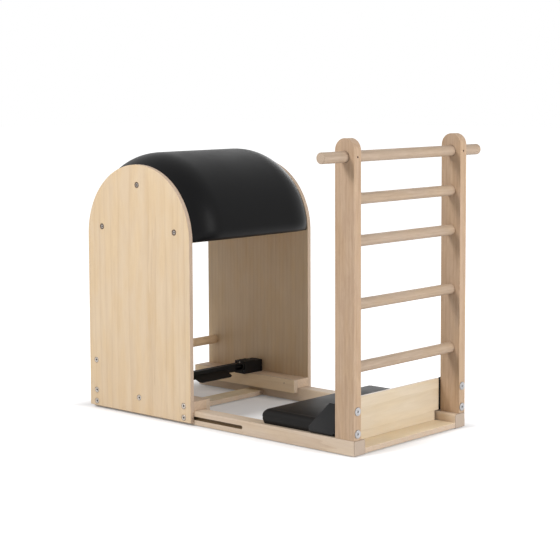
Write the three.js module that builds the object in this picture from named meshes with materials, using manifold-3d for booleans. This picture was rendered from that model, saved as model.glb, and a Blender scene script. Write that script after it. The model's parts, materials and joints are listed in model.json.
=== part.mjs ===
// Pilates ladder barrel. A beech sled carries a rung ladder and a foot cushion at one end.
// An upholstered barrel stands on a carriage that slides along the sled, between the two
// plywood side panels, and a foot pedal lifts the two brake plungers that hold it.
// Millimetres, +Z up, +X towards the ladder, +Y to the left of someone facing the ladder.

import * as THREE from 'three';
import { mergeVertices } from 'three/addons/utils/BufferGeometryUtils.js';
import Module from 'manifold-3d';

const wasm = await Module();
wasm.setup();

// Fits that many pieces share
const seat = 0.3;
const slideGap = 0.5;
const overrun = 5;
const ease = 1.2;

// Sled
const baseWidth = 620;
const railLength = 1274;
const railWidth = 57;
const railHeight = 50;
const railRound = 6;
const footHeight = 3;
const footRadius = 16;
const footInset = 60;
const plyThickness = 18;
const plyLift = 2.5;
const basePlateDepth = 112;
const crossStripWidth = 80;
const crossStripFromLadderEnd = 918;

// Ladder
const postLength = 990;
const postDepth = 82;
const postThickness = 36;
const handleRadius = 19;
const handleLength = 860;
const handleDrop = 61;
const rungRadius = 19;
const upperRungStep = 139;
const lowerRungStep = 209;
const tenonDepth = 16;
const rodEase = 2.5;
const handlePinRadius = 3.5;
const handlePinDepth = 9;

// Kick board and its two corner brackets
const kickThickness = 12;
const kickHeight = 148;
const kickEndInset = 44;
const kickNotchClearance = 11;
const kickNotchLift = 5;
const bracketSheet = 4;
const bracketBend = 11;
const bracketInset = 4;
const bracketFlange = 36;
const bracketHeight = 114;
const bracketLength = 118;
const bracketBlunt = 13;

// Foot cushion
const padLength = 329;
const padWidth = 602;
const padFromLadderEnd = 100;
const padShoulder = 52;
const padCrown = 16;
const padEdgeRound = 26;
const padBoardThickness = 12;
const padBoardInset = 40;
const padCornerRadius = 20;
const padTuck = 6;
const padUprightShare = 1 / 3;
const padColumns = 12;
const padRows = 16;
const padLayers = 6;

// Carriage side panels
const panelWidth = 536;
const panelStraight = 648;
const panelFloorGap = 11;
const panelBoltInset = 35.5;
const archBoltInset = 74;
const sideBoltRise = 32;
const dowelRadius = 17.5;
const dowelHeight = 184;

// Guides that run on the rails
const blockWidth = 60;
const blockHeight = 33;
const plankThickness = 20;
const plankHeight = 50;
const plankScrewRadius = 2.5;
const plankScrewDepth = 3;
const plankScrewInset = 53;
const travel = 265;
const slotWidth = 13;
const slotDepth = 16;
const slotRise = 24.5;
const slotEndClearance = 1.5;

// Barrel
const shellInset = 16;
const shellThickness = 9;
const shellSkirt = 4;
const barrelEdgeInset = 2;
const barrelCrown = 43;
const barrelShoulder = 140;
const barrelSkirt = 8;
const barrelRoll = 34;
const barrelBluntShare = 0.4;
const barrelColumns = 30;
const barrelRows = 14;

// Bolts
const panelHeadRadius = 10;
const panelHeadHeight = 3.5;
const headClearance = 1;
const boltRadius = 4;
const guidePinRadius = 5;
const socketRadius = 3.4;
const socketDepth = 2.5;
const archBoltReach = 14;
const dowelBoltReach = 40;
const guideBoltReach = 22;
const guidePinReach = 13;
const postHeadRadius = 14;
const postHeadHeight = 3.5;
const postHeadProud = 2;
const postBoltLow = 22;
const postBoltHigh = 97;
const postBoltPast = 3;

// Foot-operated brake
const housingLength = 54;
const housingWidth = 100;
const housingHeight = 50;
const housingWall = 3;
const housingFromPanel = 10;
const housingShift = 10;
const mouthWidth = 40;
const mouthHeight = 28;
const mouthRound = 10;
const pedalAxisShift = 21;
const pedalAxisRise = 31.7;
const barSection = 30;
const barWall = 3;
const barWindowFromEnd = 6;
const barWindowLength = 46;
const barWindowHeight = 20;
const barToHousing = 3.5;
const barEase = 3;
const axleRadius = 6;
const treadWidth = 176;
const treadReach = 50;
const treadThickness = 5;
const treadDrop = 24;
const treadCorner = 15;
const forkReach = 24;
const forkNoseRadius = 3;
const forkProng = 5;
const forkDrop = 2;
const plungerFromPanel = 43;
const plungerRadius = 5;
const plungerRise = 12;
const collarRadius = 10;
const collarHeight = 3;
const shoeRadius = 9.5;
const shoeClearance = 0.8;
const shoeHeight = 6;
const springRadius = 8;
const springWire = 1.6;
const springTurns = 6;
const springSteps = 8;

// Facets round a circle
const rodSides = 20;
const boltSides = 10;
const wireSides = 6;
const archSides = 22;
const cornerSides = 4;

// Levels and places that follow from the sizes above
const railTop = footHeight + railHeight;
const railOuter = baseWidth / 2;
const railInner = railOuter - railWidth;
const postTop = railTop + seat + postLength;
const postCentre = railOuter - postThickness / 2;
const postInner = railOuter - postThickness;
const handleHeight = postTop - handleDrop;
const rungHeights = [
  handleHeight - upperRungStep,
  handleHeight - upperRungStep * 2,
  handleHeight - upperRungStep * 2 - lowerRungStep,
  handleHeight - upperRungStep * 2 - lowerRungStep * 2,
];
const plyTop = footHeight + plyLift + plyThickness;
const panelInner = railOuter + slideGap;
const panelOuter = panelInner + plyThickness;
const panelRadius = panelWidth / 2;
const archCentre = panelFloorGap + panelStraight;
const panelBolt = panelRadius - panelBoltInset;
const archBoltRadius = panelRadius - archBoltInset;
const blockOuter = panelInner - seat;
const blockInner = blockOuter - blockWidth;
const blockBottom = railTop + seat;
const blockTop = blockBottom + blockHeight;
const guideBoltHeight = blockBottom + blockHeight / 2;
const slotHeight = footHeight + slotRise;
const pedalAxisHeight = blockTop + pedalAxisRise;
const housingOuter = panelInner - housingFromPanel;
const housingInner = housingOuter - housingWidth;
const housingBottom = blockTop + seat;
const plungerX = pedalAxisShift - forkReach;
const plungerY = panelInner - plungerFromPanel;
const barEnd = housingInner - barToHousing;
const noseTop = pedalAxisHeight - forkDrop + forkNoseRadius;
const collarBottom = noseTop + seat;
const barrelHalf = panelInner - seat;
const shellRadius = panelRadius - shellInset;
const barrelEdgeRadius = panelRadius - barrelEdgeInset;

// The carriage stands at the far end of its travel, its panels' rear edges flush with the
// rails' rear ends
const carriageX = panelRadius - railLength;

// Finishes
const finishes = {
  beech: { color: 0xd8bd9c, roughness: 0.55, metalness: 0 },
  plywood: { color: 0xe6d2ae, roughness: 0.5, metalness: 0 },
  vinyl: { color: 0x242425, roughness: 0.45, metalness: 0 },
  blackSteel: { color: 0x1d1c1b, roughness: 0.5, metalness: 0.4 },
  zinc: { color: 0xb9b7b4, roughness: 0.35, metalness: 0.9 },
  rubber: { color: 0x2b2b2b, roughness: 0.9, metalness: 0 },
};

// A closed solid from any geometry: shared corners merged, slivers on an axis dropped
function solid(shape) {
  if (shape instanceof wasm.Manifold) return shape;
  const bare = new THREE.BufferGeometry();
  bare.setAttribute('position', shape.getAttribute('position'));
  if (shape.index) bare.setIndex(shape.index);
  const merged = mergeVertices(bare);
  const corners = merged.index.array;
  const kept = [];
  for (let i = 0; i < corners.length; i += 3) {
    const [a, b, c] = [corners[i], corners[i + 1], corners[i + 2]];
    if (a !== b && b !== c && c !== a) kept.push(a, b, c);
  }
  const vertProperties = new Float32Array(merged.getAttribute('position').array);
  return new wasm.Manifold(new wasm.Mesh({ numProp: 3, vertProperties, triVerts: new Uint32Array(kept) }));
}

function surface(shape) {
  const mesh = solid(shape).getMesh();
  const geometry = new THREE.BufferGeometry();
  geometry.setAttribute('position', new THREE.BufferAttribute(new Float32Array(mesh.vertProperties), 3));
  geometry.setIndex(new THREE.BufferAttribute(new Uint32Array(mesh.triVerts), 1));
  geometry.computeVertexNormals();
  return geometry;
}

function cut(body, ...tools) {
  return tools.reduce((rest, tool) => rest.subtract(solid(tool)), solid(body));
}

function join(...shapes) {
  return shapes.map(solid).reduce((whole, shape) => whole.add(shape));
}

// The same piece for the other side of the apparatus
function mirrored(geometry) {
  const copy = geometry.clone();
  copy.scale(1, -1, 1);
  const corners = copy.index.array;
  for (let i = 0; i < corners.length; i += 3) {
    [corners[i + 1], corners[i + 2]] = [corners[i + 2], corners[i + 1]];
  }
  return copy;
}

// Settings of an extrusion whose end faces have their edges broken, drawn inside its outline
function brokenEdge(edge) {
  return {
    bevelEnabled: edge > 0,
    bevelThickness: edge,
    bevelSize: edge,
    bevelOffset: -edge,
    bevelSegments: 1,
  };
}

// An outline drawn in X and Z, stood up and centred on y
function wallFromXZ(outline, thickness, y, edge = 0, curveSegments = archSides) {
  const depth = thickness - 2 * edge;
  const geometry = new THREE.ExtrudeGeometry(outline, { depth, curveSegments, ...brokenEdge(edge) });
  geometry.translate(0, 0, -depth / 2);
  geometry.rotateX(Math.PI / 2);
  geometry.translate(0, y, 0);
  return geometry;
}

// An outline drawn in Y and Z, run along X from x0 to x1
function runAlongX(outline, x0, x1, edge = 0, curveSegments = cornerSides) {
  const depth = x1 - x0 - 2 * edge;
  const geometry = new THREE.ExtrudeGeometry(outline, { depth, curveSegments, ...brokenEdge(edge) });
  const turn = new THREE.Matrix4().makeBasis(
    new THREE.Vector3(0, 1, 0), new THREE.Vector3(0, 0, 1), new THREE.Vector3(1, 0, 0));
  geometry.applyMatrix4(turn);
  geometry.translate(x0 + edge, 0, 0);
  return geometry;
}

function outlineOf(points) {
  return new THREE.Shape(points.map(([a, b]) => new THREE.Vector2(a, b)));
}

function block(x0, x1, y0, y1, z0, z1) {
  const geometry = new THREE.BoxGeometry(x1 - x0, y1 - y0, z1 - z0);
  geometry.translate((x0 + x1) / 2, (y0 + y1) / 2, (z0 + z1) / 2);
  return geometry;
}

// A sawn board with its long edges broken
function board(x0, x1, y0, y1, z0, z1) {
  const outline = outlineOf([
    [y0 + ease, z0], [y1 - ease, z0], [y1, z0 + ease], [y1, z1 - ease],
    [y1 - ease, z1], [y0 + ease, z1], [y0, z1 - ease], [y0, z0 + ease],
  ]);
  return runAlongX(outline, x0, x1, ease);
}

function revolve(points, sides = rodSides) {
  return new THREE.LatheGeometry(points.map(([r, h]) => new THREE.Vector2(r, h)), sides);
}

// Round stock along Y, from y0 to y1, with its ends eased
function rodAlongY(radius, y0, y1, edge, sides = rodSides) {
  const profile = edge > 0
    ? [[0, y0], [radius - edge, y0], [radius, y0 + edge], [radius, y1 - edge], [radius - edge, y1], [0, y1]]
    : [[0, y0], [radius, y0], [radius, y1], [0, y1]];
  return revolve(profile, sides);
}

function placed(geometry, x, y, z) {
  geometry.translate(x, y, z);
  return geometry;
}

function holeAlongY(radius, y0, y1, x, z, sides = boltSides) {
  return placed(rodAlongY(radius, y0, y1, 0, sides), x, 0, z);
}

function holeAlongX(radius, x0, x1, y, z, sides = boltSides) {
  const hole = rodAlongY(radius, x0, x1, 0, sides);
  hole.rotateZ(-Math.PI / 2);
  return placed(hole, 0, y, z);
}

function holeAlongZ(radius, z0, z1, x, y, sides = boltSides) {
  const hole = rodAlongY(radius, z0, z1, 0, sides);
  hole.rotateX(Math.PI / 2);
  return placed(hole, x, y, 0);
}

// A connector bolt with a flat head and a hexagon socket. Its head faces +Y at height zero.
function connectorBolt(headRadius, headHeight, radius, length) {
  const headEdge = headHeight / 4;
  const body = revolve([
    [0, -length], [radius, -length], [radius, -headHeight], [headRadius, -headHeight],
    [headRadius, -headEdge], [headRadius - headEdge, 0], [0, 0],
  ], boltSides);
  const socket = new THREE.CylinderGeometry(socketRadius, socketRadius, socketDepth + overrun, 6);
  socket.translate(0, (overrun - socketDepth) / 2, 0);
  return cut(body, socket);
}

const apparatus = new THREE.Group();
const carriage = new THREE.Group();
carriage.position.x = carriageX;
apparatus.add(carriage);

function add(group, name, shape, finish) {
  const material = new THREE.MeshStandardMaterial(finishes[finish]);
  material.name = finish;
  const mesh = new THREE.Mesh(surface(shape), material);
  mesh.name = name;
  group.add(mesh);
  return mesh;
}

function addPair(group, name, shape, finish) {
  const left = add(group, `${name}_left`, shape, finish);
  const right = add(group, `${name}_right`, shape, finish);
  right.geometry = mirrored(left.geometry);
}

// The sled's rail: solid beech, its inner top edge rounded, with two slots in its outer
// face that the carriage's guide pins run in
function rail() {
  const outline = new THREE.Shape();
  outline.moveTo(railInner, footHeight);
  outline.lineTo(railOuter, footHeight);
  outline.lineTo(railOuter, railTop);
  outline.lineTo(railInner + railRound, railTop);
  outline.absarc(railInner + railRound, railTop - railRound, railRound, Math.PI / 2, Math.PI);
  const slots = [panelBolt, -panelBolt].map((pin) => guideSlot(carriageX + pin));
  return cut(runAlongX(outline, -railLength, 0), ...slots);
}

function guideSlot(pinX) {
  const half = slotWidth / 2;
  const clear = guidePinRadius + slotEndClearance - half;
  const outline = new THREE.Shape();
  outline.absarc(pinX + travel + clear, slotHeight, half, -Math.PI / 2, Math.PI / 2);
  outline.absarc(pinX - clear, slotHeight, half, Math.PI / 2, Math.PI * 1.5);
  const depth = slotDepth + overrun;
  return wallFromXZ(outline, depth, railOuter + overrun - depth / 2, 0, cornerSides);
}

// A beech post with a round head. The handle runs through it, the rungs sit in blind sockets.
function post() {
  const half = postDepth / 2;
  const outline = new THREE.Shape();
  outline.moveTo(-postDepth, railTop + seat);
  outline.lineTo(0, railTop + seat);
  outline.lineTo(0, postTop - half);
  outline.absarc(-half, postTop - half, half, 0, Math.PI);
  const sockets = rungHeights.map((z) =>
    holeAlongY(rungRadius + seat, postInner - overrun, postInner + tenonDepth + seat, -half, z, rodSides));
  const handleHole = holeAlongY(
    handleRadius + seat, postInner - overrun, railOuter + overrun, -half, handleHeight, rodSides);
  const pinHole = holeAlongX(handlePinRadius, -handlePinDepth, overrun, postCentre, handleHeight);
  const boltHoles = [postBoltLow, postBoltHigh].flatMap((rise) => [
    holeAlongX(boltRadius + seat, -postDepth - overrun, overrun, postCentre, railTop + rise),
    holeAlongX(postHeadRadius + headClearance, postHeadProud - postHeadHeight - seat, overrun,
      postCentre, railTop + rise, rodSides),
  ]);
  return cut(wallFromXZ(outline, postThickness, postCentre, ease, archSides / 2),
    handleHole, pinHole, ...sockets, ...boltHoles);
}

// The thin board that the feet push against, notched round the rails
function kickBoard() {
  const end = railOuter - kickEndInset;
  const notch = railInner - kickNotchClearance;
  const bottom = plyTop + seat;
  const top = bottom + kickHeight;
  const notchTop = railTop + kickNotchLift;
  const outline = outlineOf([
    [-notch, bottom], [notch, bottom], [notch, notchTop], [end, notchTop],
    [end, top], [-end, top], [-end, notchTop], [-notch, notchTop],
  ]);
  const front = -postDepth - seat;
  return runAlongX(outline, front - kickThickness, front, ease);
}

// Pressed steel corner bracket: a triangular web folded into a flange on the post and
// another on the rail
function bracket() {
  const outer = railOuter - bracketInset;
  const front = -postDepth - seat;
  const bottom = railTop + seat;
  const back = front - bracketLength;
  const top = bottom + bracketHeight;
  const inner = bracketBend - bracketSheet;

  const web = outlineOf([
    [back, bottom + bracketBend], [front - bracketBend, bottom + bracketBend],
    [front - bracketBend, top], [front - bracketBend - bracketBlunt, top],
    [back, bottom + bracketBend + bracketBlunt],
  ]);
  const upright = new THREE.Shape();
  upright.moveTo(front, outer - bracketFlange);
  upright.lineTo(front, outer - bracketBend);
  upright.absarc(front - bracketBend, outer - bracketBend, bracketBend, 0, Math.PI / 2);
  upright.lineTo(front - bracketBend - ease, outer);
  upright.lineTo(front - bracketBend - ease, outer - bracketSheet);
  upright.lineTo(front - bracketBend, outer - bracketSheet);
  upright.absarc(front - bracketBend, outer - bracketBend, inner, Math.PI / 2, 0, true);
  upright.lineTo(front - bracketSheet, outer - bracketFlange);
  const postFlange = new THREE.ExtrudeGeometry(upright, {
    depth: bracketHeight - bracketBend, bevelEnabled: false, curveSegments: cornerSides,
  });
  postFlange.translate(0, 0, bottom + bracketBend);

  const lying = new THREE.Shape();
  lying.moveTo(outer - bracketFlange, bottom);
  lying.lineTo(outer - bracketBend, bottom);
  lying.absarc(outer - bracketBend, bottom + bracketBend, bracketBend, -Math.PI / 2, 0);
  lying.lineTo(outer, bottom + bracketBend + ease);
  lying.lineTo(outer - bracketSheet, bottom + bracketBend + ease);
  lying.lineTo(outer - bracketSheet, bottom + bracketBend);
  lying.absarc(outer - bracketBend, bottom + bracketBend, inner, 0, -Math.PI / 2, true);
  lying.lineTo(outer - bracketFlange, bottom + bracketSheet);
  const railFlange = runAlongX(lying, back, front - bracketBend);

  const boltHoles = [postBoltLow, postBoltHigh].map((rise) =>
    holeAlongX(boltRadius + seat, front - bracketBend, front + overrun, postCentre, railTop + rise));
  return cut(join(wallFromXZ(web, bracketSheet, outer - bracketSheet / 2), postFlange, railFlange),
    ...boltHoles);
}

// Flat-headed bolt through a post into the tapped hole of its bracket
function postBolt(rise) {
  const length = postHeadProud + postDepth + seat + bracketSheet + postBoltPast;
  const bolt = surface(connectorBolt(postHeadRadius, postHeadHeight, boltRadius, length));
  bolt.rotateZ(-Math.PI / 2);
  return placed(bolt, postHeadProud, postCentre, railTop + rise);
}

// A box whose grid is drawn towards its edges and then shaped by a rule, corner by corner
function formed(columns, rows, layers, rule) {
  const geometry = new THREE.BoxGeometry(1, 1, 1, columns, rows, layers);
  const place = geometry.getAttribute('position');
  for (let i = 0; i < place.count; i += 1) {
    place.setXYZ(i, ...rule(2 * place.getX(i), 2 * place.getY(i), 2 * place.getZ(i)));
  }
  return geometry;
}

// How far the cover stands up and draws in at a share of the way up the cushion's side:
// tucked in at its foot, upright, then turned over its round shoulder
function padSide(share) {
  const upright = padShoulder - padEdgeRound;
  if (share < padUprightShare) {
    const climb = share / padUprightShare;
    return { height: upright * climb, inset: padTuck * (1 - climb) ** 2 };
  }
  const turn = (share - padUprightShare) / (1 - padUprightShare) * Math.PI / 2;
  return { height: upright + padEdgeRound * Math.sin(turn), inset: padEdgeRound * (1 - Math.cos(turn)) };
}

// A place on a rectangle, moved so that the rectangle's corners become round
function roundCorners(x, y, halfX, halfY, radius) {
  const beyondX = Math.abs(x) - (halfX - radius);
  const beyondY = Math.abs(y) - (halfY - radius);
  if (beyondX <= 0 || beyondY <= 0) return [x, y];
  const pull = 1 - Math.max(beyondX, beyondY) / Math.hypot(beyondX, beyondY);
  return [x - Math.sign(x) * beyondX * pull, y - Math.sign(y) * beyondY * pull];
}

// The foot cushion: crowned top, round shoulders and corners, its cover drawn down over
// the board inside it and notched over the brackets' flanges
function footCushion() {
  const bottom = railTop + seat;
  const middle = -padFromLadderEnd - padLength / 2;
  const body = formed(padColumns, padRows, padLayers, (a, b, c) => {
    const across = Math.sin(a * Math.PI / 2);
    const along = Math.sin(b * Math.PI / 2);
    const share = (c + 1) / 2;
    const { height, inset } = padSide(share);
    const halfX = padLength / 2 - inset;
    const halfY = padWidth / 2 - inset;
    const [x, y] = roundCorners(across * halfX, along * halfY, halfX, halfY, padCornerRadius - inset / 2);
    const crown = padCrown * (1 - across ** 2) * (1 - along ** 4) * share;
    return [middle + x, y, bottom + height + crown];
  });
  const pocket = block(
    -padFromLadderEnd - padLength + padBoardInset - seat, -padFromLadderEnd - padBoardInset + seat,
    padBoardInset - seat - padWidth / 2, padWidth / 2 - padBoardInset + seat,
    bottom - overrun, bottom + padBoardThickness + seat);
  const outer = railOuter - bracketInset;
  const notches = [-1, 1].map((side) => {
    const edges = [outer - bracketFlange - seat, outer + overrun].map((y) => side * y);
    return block(-postDepth - bracketLength - 2 * seat, -padFromLadderEnd + overrun,
      Math.min(...edges), Math.max(...edges), bottom - overrun, bottom + bracketBend + seat);
  });
  return cut(body, pocket, ...notches);
}

function padBoard() {
  const bottom = railTop + seat;
  return board(-padFromLadderEnd - padLength + padBoardInset, -padFromLadderEnd - padBoardInset,
    padBoardInset - padWidth / 2, padWidth / 2 - padBoardInset, bottom, bottom + padBoardThickness);
}

// Where the bolts go through a side panel: x, z, shank radius and reach behind the panel
function panelBolts() {
  const rise = Math.asin(sideBoltRise / archBoltRadius);
  const arch = { front: rise, top: Math.PI / 2, rear: Math.PI - rise };
  const along = { front: panelBolt, middle: 0, rear: -panelBolt };
  const list = Object.entries(arch).map(([place, angle]) => ({
    name: `arch_bolt_${place}`,
    x: archBoltRadius * Math.cos(angle),
    z: archCentre + archBoltRadius * Math.sin(angle),
    radius: boltRadius,
    reach: archBoltReach,
  }));
  list.push({
    name: 'dowel_bolt', x: along.rear, z: dowelHeight, radius: boltRadius, reach: dowelBoltReach,
  });
  const bolt = { z: guideBoltHeight, radius: boltRadius, reach: guideBoltReach };
  const pin = { z: slotHeight, radius: guidePinRadius, reach: guidePinReach };
  ['front', 'middle', 'rear'].forEach((place) =>
    list.push({ name: `guide_bolt_${place}`, x: along[place], ...bolt }));
  ['front', 'rear'].forEach((place) =>
    list.push({ name: `guide_pin_${place}`, x: along[place], ...pin }));
  return list;
}

function panelOutline(radius, bottom) {
  const outline = new THREE.Shape();
  outline.moveTo(-radius, bottom);
  outline.lineTo(radius, bottom);
  outline.lineTo(radius, archCentre);
  outline.absarc(0, archCentre, radius, 0, Math.PI);
  return outline;
}

// Plywood side panel with a full round head and a recess for each bolt head
function sidePanel() {
  const centre = (panelInner + panelOuter) / 2;
  const body = wallFromXZ(panelOutline(panelRadius, panelFloorGap), plyThickness, centre, ease);
  const floor = panelOuter - panelHeadHeight - seat;
  const holes = panelBolts().flatMap(({ x, z, radius }) => [
    holeAlongY(radius + seat, panelInner - overrun, panelOuter + overrun, x, z),
    holeAlongY(panelHeadRadius + headClearance, floor, panelOuter + overrun, x, z),
  ]);
  return cut(body, ...holes);
}

function panelBoltAt({ x, z, radius, reach }) {
  const bolt = connectorBolt(panelHeadRadius, panelHeadHeight, radius, plyThickness + reach);
  return placed(surface(bolt), x, panelOuter, z);
}

// Half-round plywood former at each end of the barrel, inside the bent shell
function barrelRib() {
  const outer = panelInner - seat;
  const outline = panelOutline(shellRadius - shellThickness - seat, archCentre - shellSkirt);
  const bolts = panelBolts().filter(({ name }) => name.startsWith('arch'));
  const holes = bolts.map(({ x, z, radius, reach }) =>
    holeAlongY(radius + seat, panelInner - reach - seat, outer + overrun, x, z));
  return cut(wallFromXZ(outline, plyThickness, outer - plyThickness / 2), ...holes);
}

// Bent plywood half-cylinder that carries the upholstery
function barrelShell() {
  const inner = shellRadius - shellThickness;
  const bottom = archCentre - shellSkirt;
  const outline = panelOutline(shellRadius, bottom);
  const hollow = panelOutline(inner, bottom - overrun);
  return cut(wallFromXZ(outline, 2 * barrelHalf, 0), wallFromXZ(hollow, 2 * barrelHalf + overrun, 0));
}

// Upholstery: thick foam under stretched cover, pulled down to the panels at both ends,
// crowned in between and rolled in along its two lower edges
function barrelCushion() {
  const inner = shellRadius + seat;
  const skirt = barrelSkirt / inner;
  const body = formed(barrelColumns, barrelRows, 1, (a, b, c) => {
    const y = barrelHalf * Math.sin(b * Math.PI / 2);
    const fromPanel = Math.min(1, (barrelHalf - Math.abs(y)) / barrelShoulder);
    const crown = barrelCrown * (1 - (1 - fromPanel) ** 2);
    const bend = (a + Math.sin(a * Math.PI / 2)) / 2;
    const angle = Math.PI / 2 - bend * (Math.PI / 2 + skirt);
    const toEdge = (Math.PI / 2 + skirt) * (1 - Math.abs(bend)) * inner;
    const roll = Math.sqrt(1 - (1 - Math.min(1, toEdge / barrelRoll)) ** 2);
    const foam = barrelEdgeRadius + crown - inner;
    const thickness = foam * (barrelBluntShare + (1 - barrelBluntShare) * roll);
    const r = c > 0 ? inner + thickness : inner - overrun;
    return [r * Math.cos(angle), y, archCentre + r * Math.sin(angle)];
  });
  const core = panelOutline(inner, archCentre - barrelSkirt - overrun);
  return cut(body, wallFromXZ(core, 2 * barrelHalf + overrun, 0));
}

// Round stretcher between the panels, low at the back
function stretcher() {
  const half = panelInner - seat;
  const holes = [-1, 1].map((side) => {
    const hole = rodAlongY(boltRadius + seat, half - dowelBoltReach - seat, half + overrun, 0, boltSides);
    if (side < 0) hole.rotateX(Math.PI);
    return hole;
  });
  const whole = surface(cut(rodAlongY(dowelRadius, -half, half, ease), ...holes));
  return placed(whole, -panelBolt, 0, dowelHeight);
}

// Solid block that rides on the rail, bored for the brake plunger and its spring
function guideBlock() {
  const body = board(-panelRadius, panelRadius, blockInner, blockOuter, blockBottom, blockTop);
  const bore = holeAlongZ(
    shoeRadius + shoeClearance, blockBottom - overrun, blockTop + overrun, plungerX, plungerY, rodSides);
  const bolts = panelBolts().filter(({ name }) => name.startsWith('guide_bolt'));
  const holes = bolts.map(({ x, z, radius, reach }) =>
    holeAlongY(radius + seat, panelInner - reach - seat, blockOuter + overrun, x, z));
  return cut(body, bore, ...holes);
}

// Plank on edge that hugs the rail's inner face
function guidePlank() {
  const outer = blockInner - seat;
  const inner = outer - plankThickness;
  const recesses = [-1, 1].map((end) =>
    holeAlongY(plankScrewRadius, inner - overrun, inner + plankScrewDepth,
      end * (panelRadius - plankScrewInset), blockTop - blockHeight / 2));
  return cut(board(-panelRadius, panelRadius, inner, outer, blockTop - plankHeight, blockTop), ...recesses);
}

// Steel housing on the guide block: the pedal's axle turns in its outer wall, and the
// plunger slides through its floor and roof
function lockHousing() {
  const x0 = housingShift - housingLength / 2;
  const x1 = housingShift + housingLength / 2;
  const top = housingBottom + housingHeight;
  const body = board(x0, x1, housingInner, housingOuter, housingBottom, top);
  const hollow = block(x0 + housingWall, x1 - housingWall, housingInner + housingWall,
    housingOuter - housingWall, housingBottom + housingWall, top - housingWall);
  const mouth = new THREE.Shape();
  const middle = plungerX + forkReach / 2;
  const corners = [[1, -1, -Math.PI / 2], [1, 1, 0], [-1, 1, Math.PI / 2], [-1, -1, Math.PI]];
  corners.forEach(([right, up, from]) => mouth.absarc(
    middle + right * (mouthWidth / 2 - mouthRound),
    pedalAxisHeight + up * (mouthHeight / 2 - mouthRound),
    mouthRound, from, from + Math.PI / 2));
  return cut(body, hollow,
    wallFromXZ(mouth, housingWall + 2 * overrun, housingInner, 0, cornerSides),
    holeAlongY(axleRadius + seat, housingOuter - housingWall - overrun, housingOuter + overrun,
      pedalAxisShift, pedalAxisHeight, rodSides),
    holeAlongZ(plungerRadius + seat, housingBottom - overrun, top + overrun, plungerX, plungerY, rodSides));
}

// The pedal: a square tube across the carriage with a window in its front wall near each
// end, a sloping tread in its middle, and an axle with the prongs that lift the collars
function pedal() {
  const half = barSection / 2;
  const tube = wallFromXZ(outlineOf([
    [barEase - half, -half], [half - barEase, -half], [half, barEase - half], [half, half - barEase],
    [half - barEase, half], [barEase - half, half], [-half, half - barEase], [-half, barEase - half],
  ]), 2 * barEnd, 0, ease);
  const bore = half - barWall;
  const hollow = block(-bore, bore, barWall - barEnd, barEnd - barWall, -bore, bore);
  const windowRound = barWindowHeight / 2;
  const windowOuter = barEnd - barWindowFromEnd - windowRound;
  const windowInner = barEnd - barWindowFromEnd - barWindowLength + windowRound;
  const opening = new THREE.Shape();
  opening.absarc(windowOuter, 0, windowRound, -Math.PI / 2, Math.PI / 2);
  opening.absarc(windowInner, 0, windowRound, Math.PI / 2, Math.PI * 1.5);
  const window = surface(solid(runAlongX(opening, bore - overrun, half + overrun)));
  const bar = cut(tube, hollow, window, mirrored(window));

  const side = treadWidth / 2;
  const plan = new THREE.Shape();
  plan.moveTo(0, -side);
  plan.absarc(treadReach - treadCorner, treadCorner - side, treadCorner, -Math.PI / 2, 0);
  plan.absarc(treadReach - treadCorner, side - treadCorner, treadCorner, 0, Math.PI / 2);
  plan.lineTo(0, side);
  const tread = new THREE.ExtrudeGeometry(plan, {
    depth: treadThickness, bevelEnabled: false, curveSegments: cornerSides,
  });
  tread.translate(0, 0, -treadThickness / 2);
  tread.rotateY(Math.asin(treadDrop / (treadReach + half)));
  tread.translate(half - ease, 0, 0);

  const axleEnd = housingOuter - ease;
  const axle = rodAlongY(axleRadius, -axleEnd, axleEnd, ease);
  const gap = plungerRadius + seat;
  const prongs = [-1, 1].flatMap((end) => [-1, 1].flatMap((flank) => {
    const y = end * plungerY + flank * (gap + forkProng / 2);
    const arm = block(-forkReach, 0, y - forkProng / 2, y + forkProng / 2,
      -forkDrop - forkNoseRadius, forkNoseRadius - forkDrop - ease);
    const nose = placed(rodAlongY(forkNoseRadius, y - forkProng / 2, y + forkProng / 2, 0, boltSides),
      -forkReach, 0, -forkDrop);
    return [arm, nose];
  }));
  return placed(surface(join(bar, tread, axle, ...prongs)), pedalAxisShift, 0, pedalAxisHeight);
}

// Brake plunger: a rubber-shod foot over the rail, a pin and the collar that the pedal lifts
function lockPlunger() {
  const foot = railTop + seat;
  const top = collarBottom + collarHeight + plungerRise;
  const pin = revolve([
    [0, foot], [shoeRadius, foot], [shoeRadius, foot + shoeHeight], [plungerRadius, foot + shoeHeight],
    [plungerRadius, collarBottom], [collarRadius, collarBottom],
    [collarRadius, collarBottom + collarHeight], [plungerRadius, collarBottom + collarHeight],
    [plungerRadius, top - ease], [plungerRadius - ease, top], [0, top],
  ]);
  pin.rotateX(Math.PI / 2);
  return placed(pin, plungerX, plungerY, 0);
}

// Helical spring between the plunger's foot and the housing's floor
class Helix extends THREE.Curve {
  constructor(radius, bottom, top, turns) {
    super();
    Object.assign(this, { radius, bottom, top, turns });
  }

  getPoint(t, target = new THREE.Vector3()) {
    const angle = t * this.turns * 2 * Math.PI;
    return target.set(this.radius * Math.cos(angle), this.radius * Math.sin(angle),
      this.bottom + (this.top - this.bottom) * t);
  }
}

function lockSpring() {
  const wire = springWire / 2;
  const helix = new Helix(springRadius, railTop + seat + shoeHeight + seat + wire,
    housingBottom - seat - wire, springTurns);
  const section = new THREE.Shape();
  section.absarc(0, 0, wire, 0, 2 * Math.PI);
  const coil = new THREE.ExtrudeGeometry(section, {
    steps: springTurns * springSteps,
    extrudePath: helix,
    curveSegments: wireSides / 2,
  });
  const centres = helix.getPoints(springTurns * springSteps);
  const spans = centres.flatMap((p, i) => centres.slice(i + springSteps - 1).map((q) => p.distanceTo(q)));
  console.log(`Least gap between the spring's turns: ${(Math.min(...spans) - springWire).toFixed(2)}`);
  return placed(coil, plungerX, plungerY, 0);
}

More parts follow.
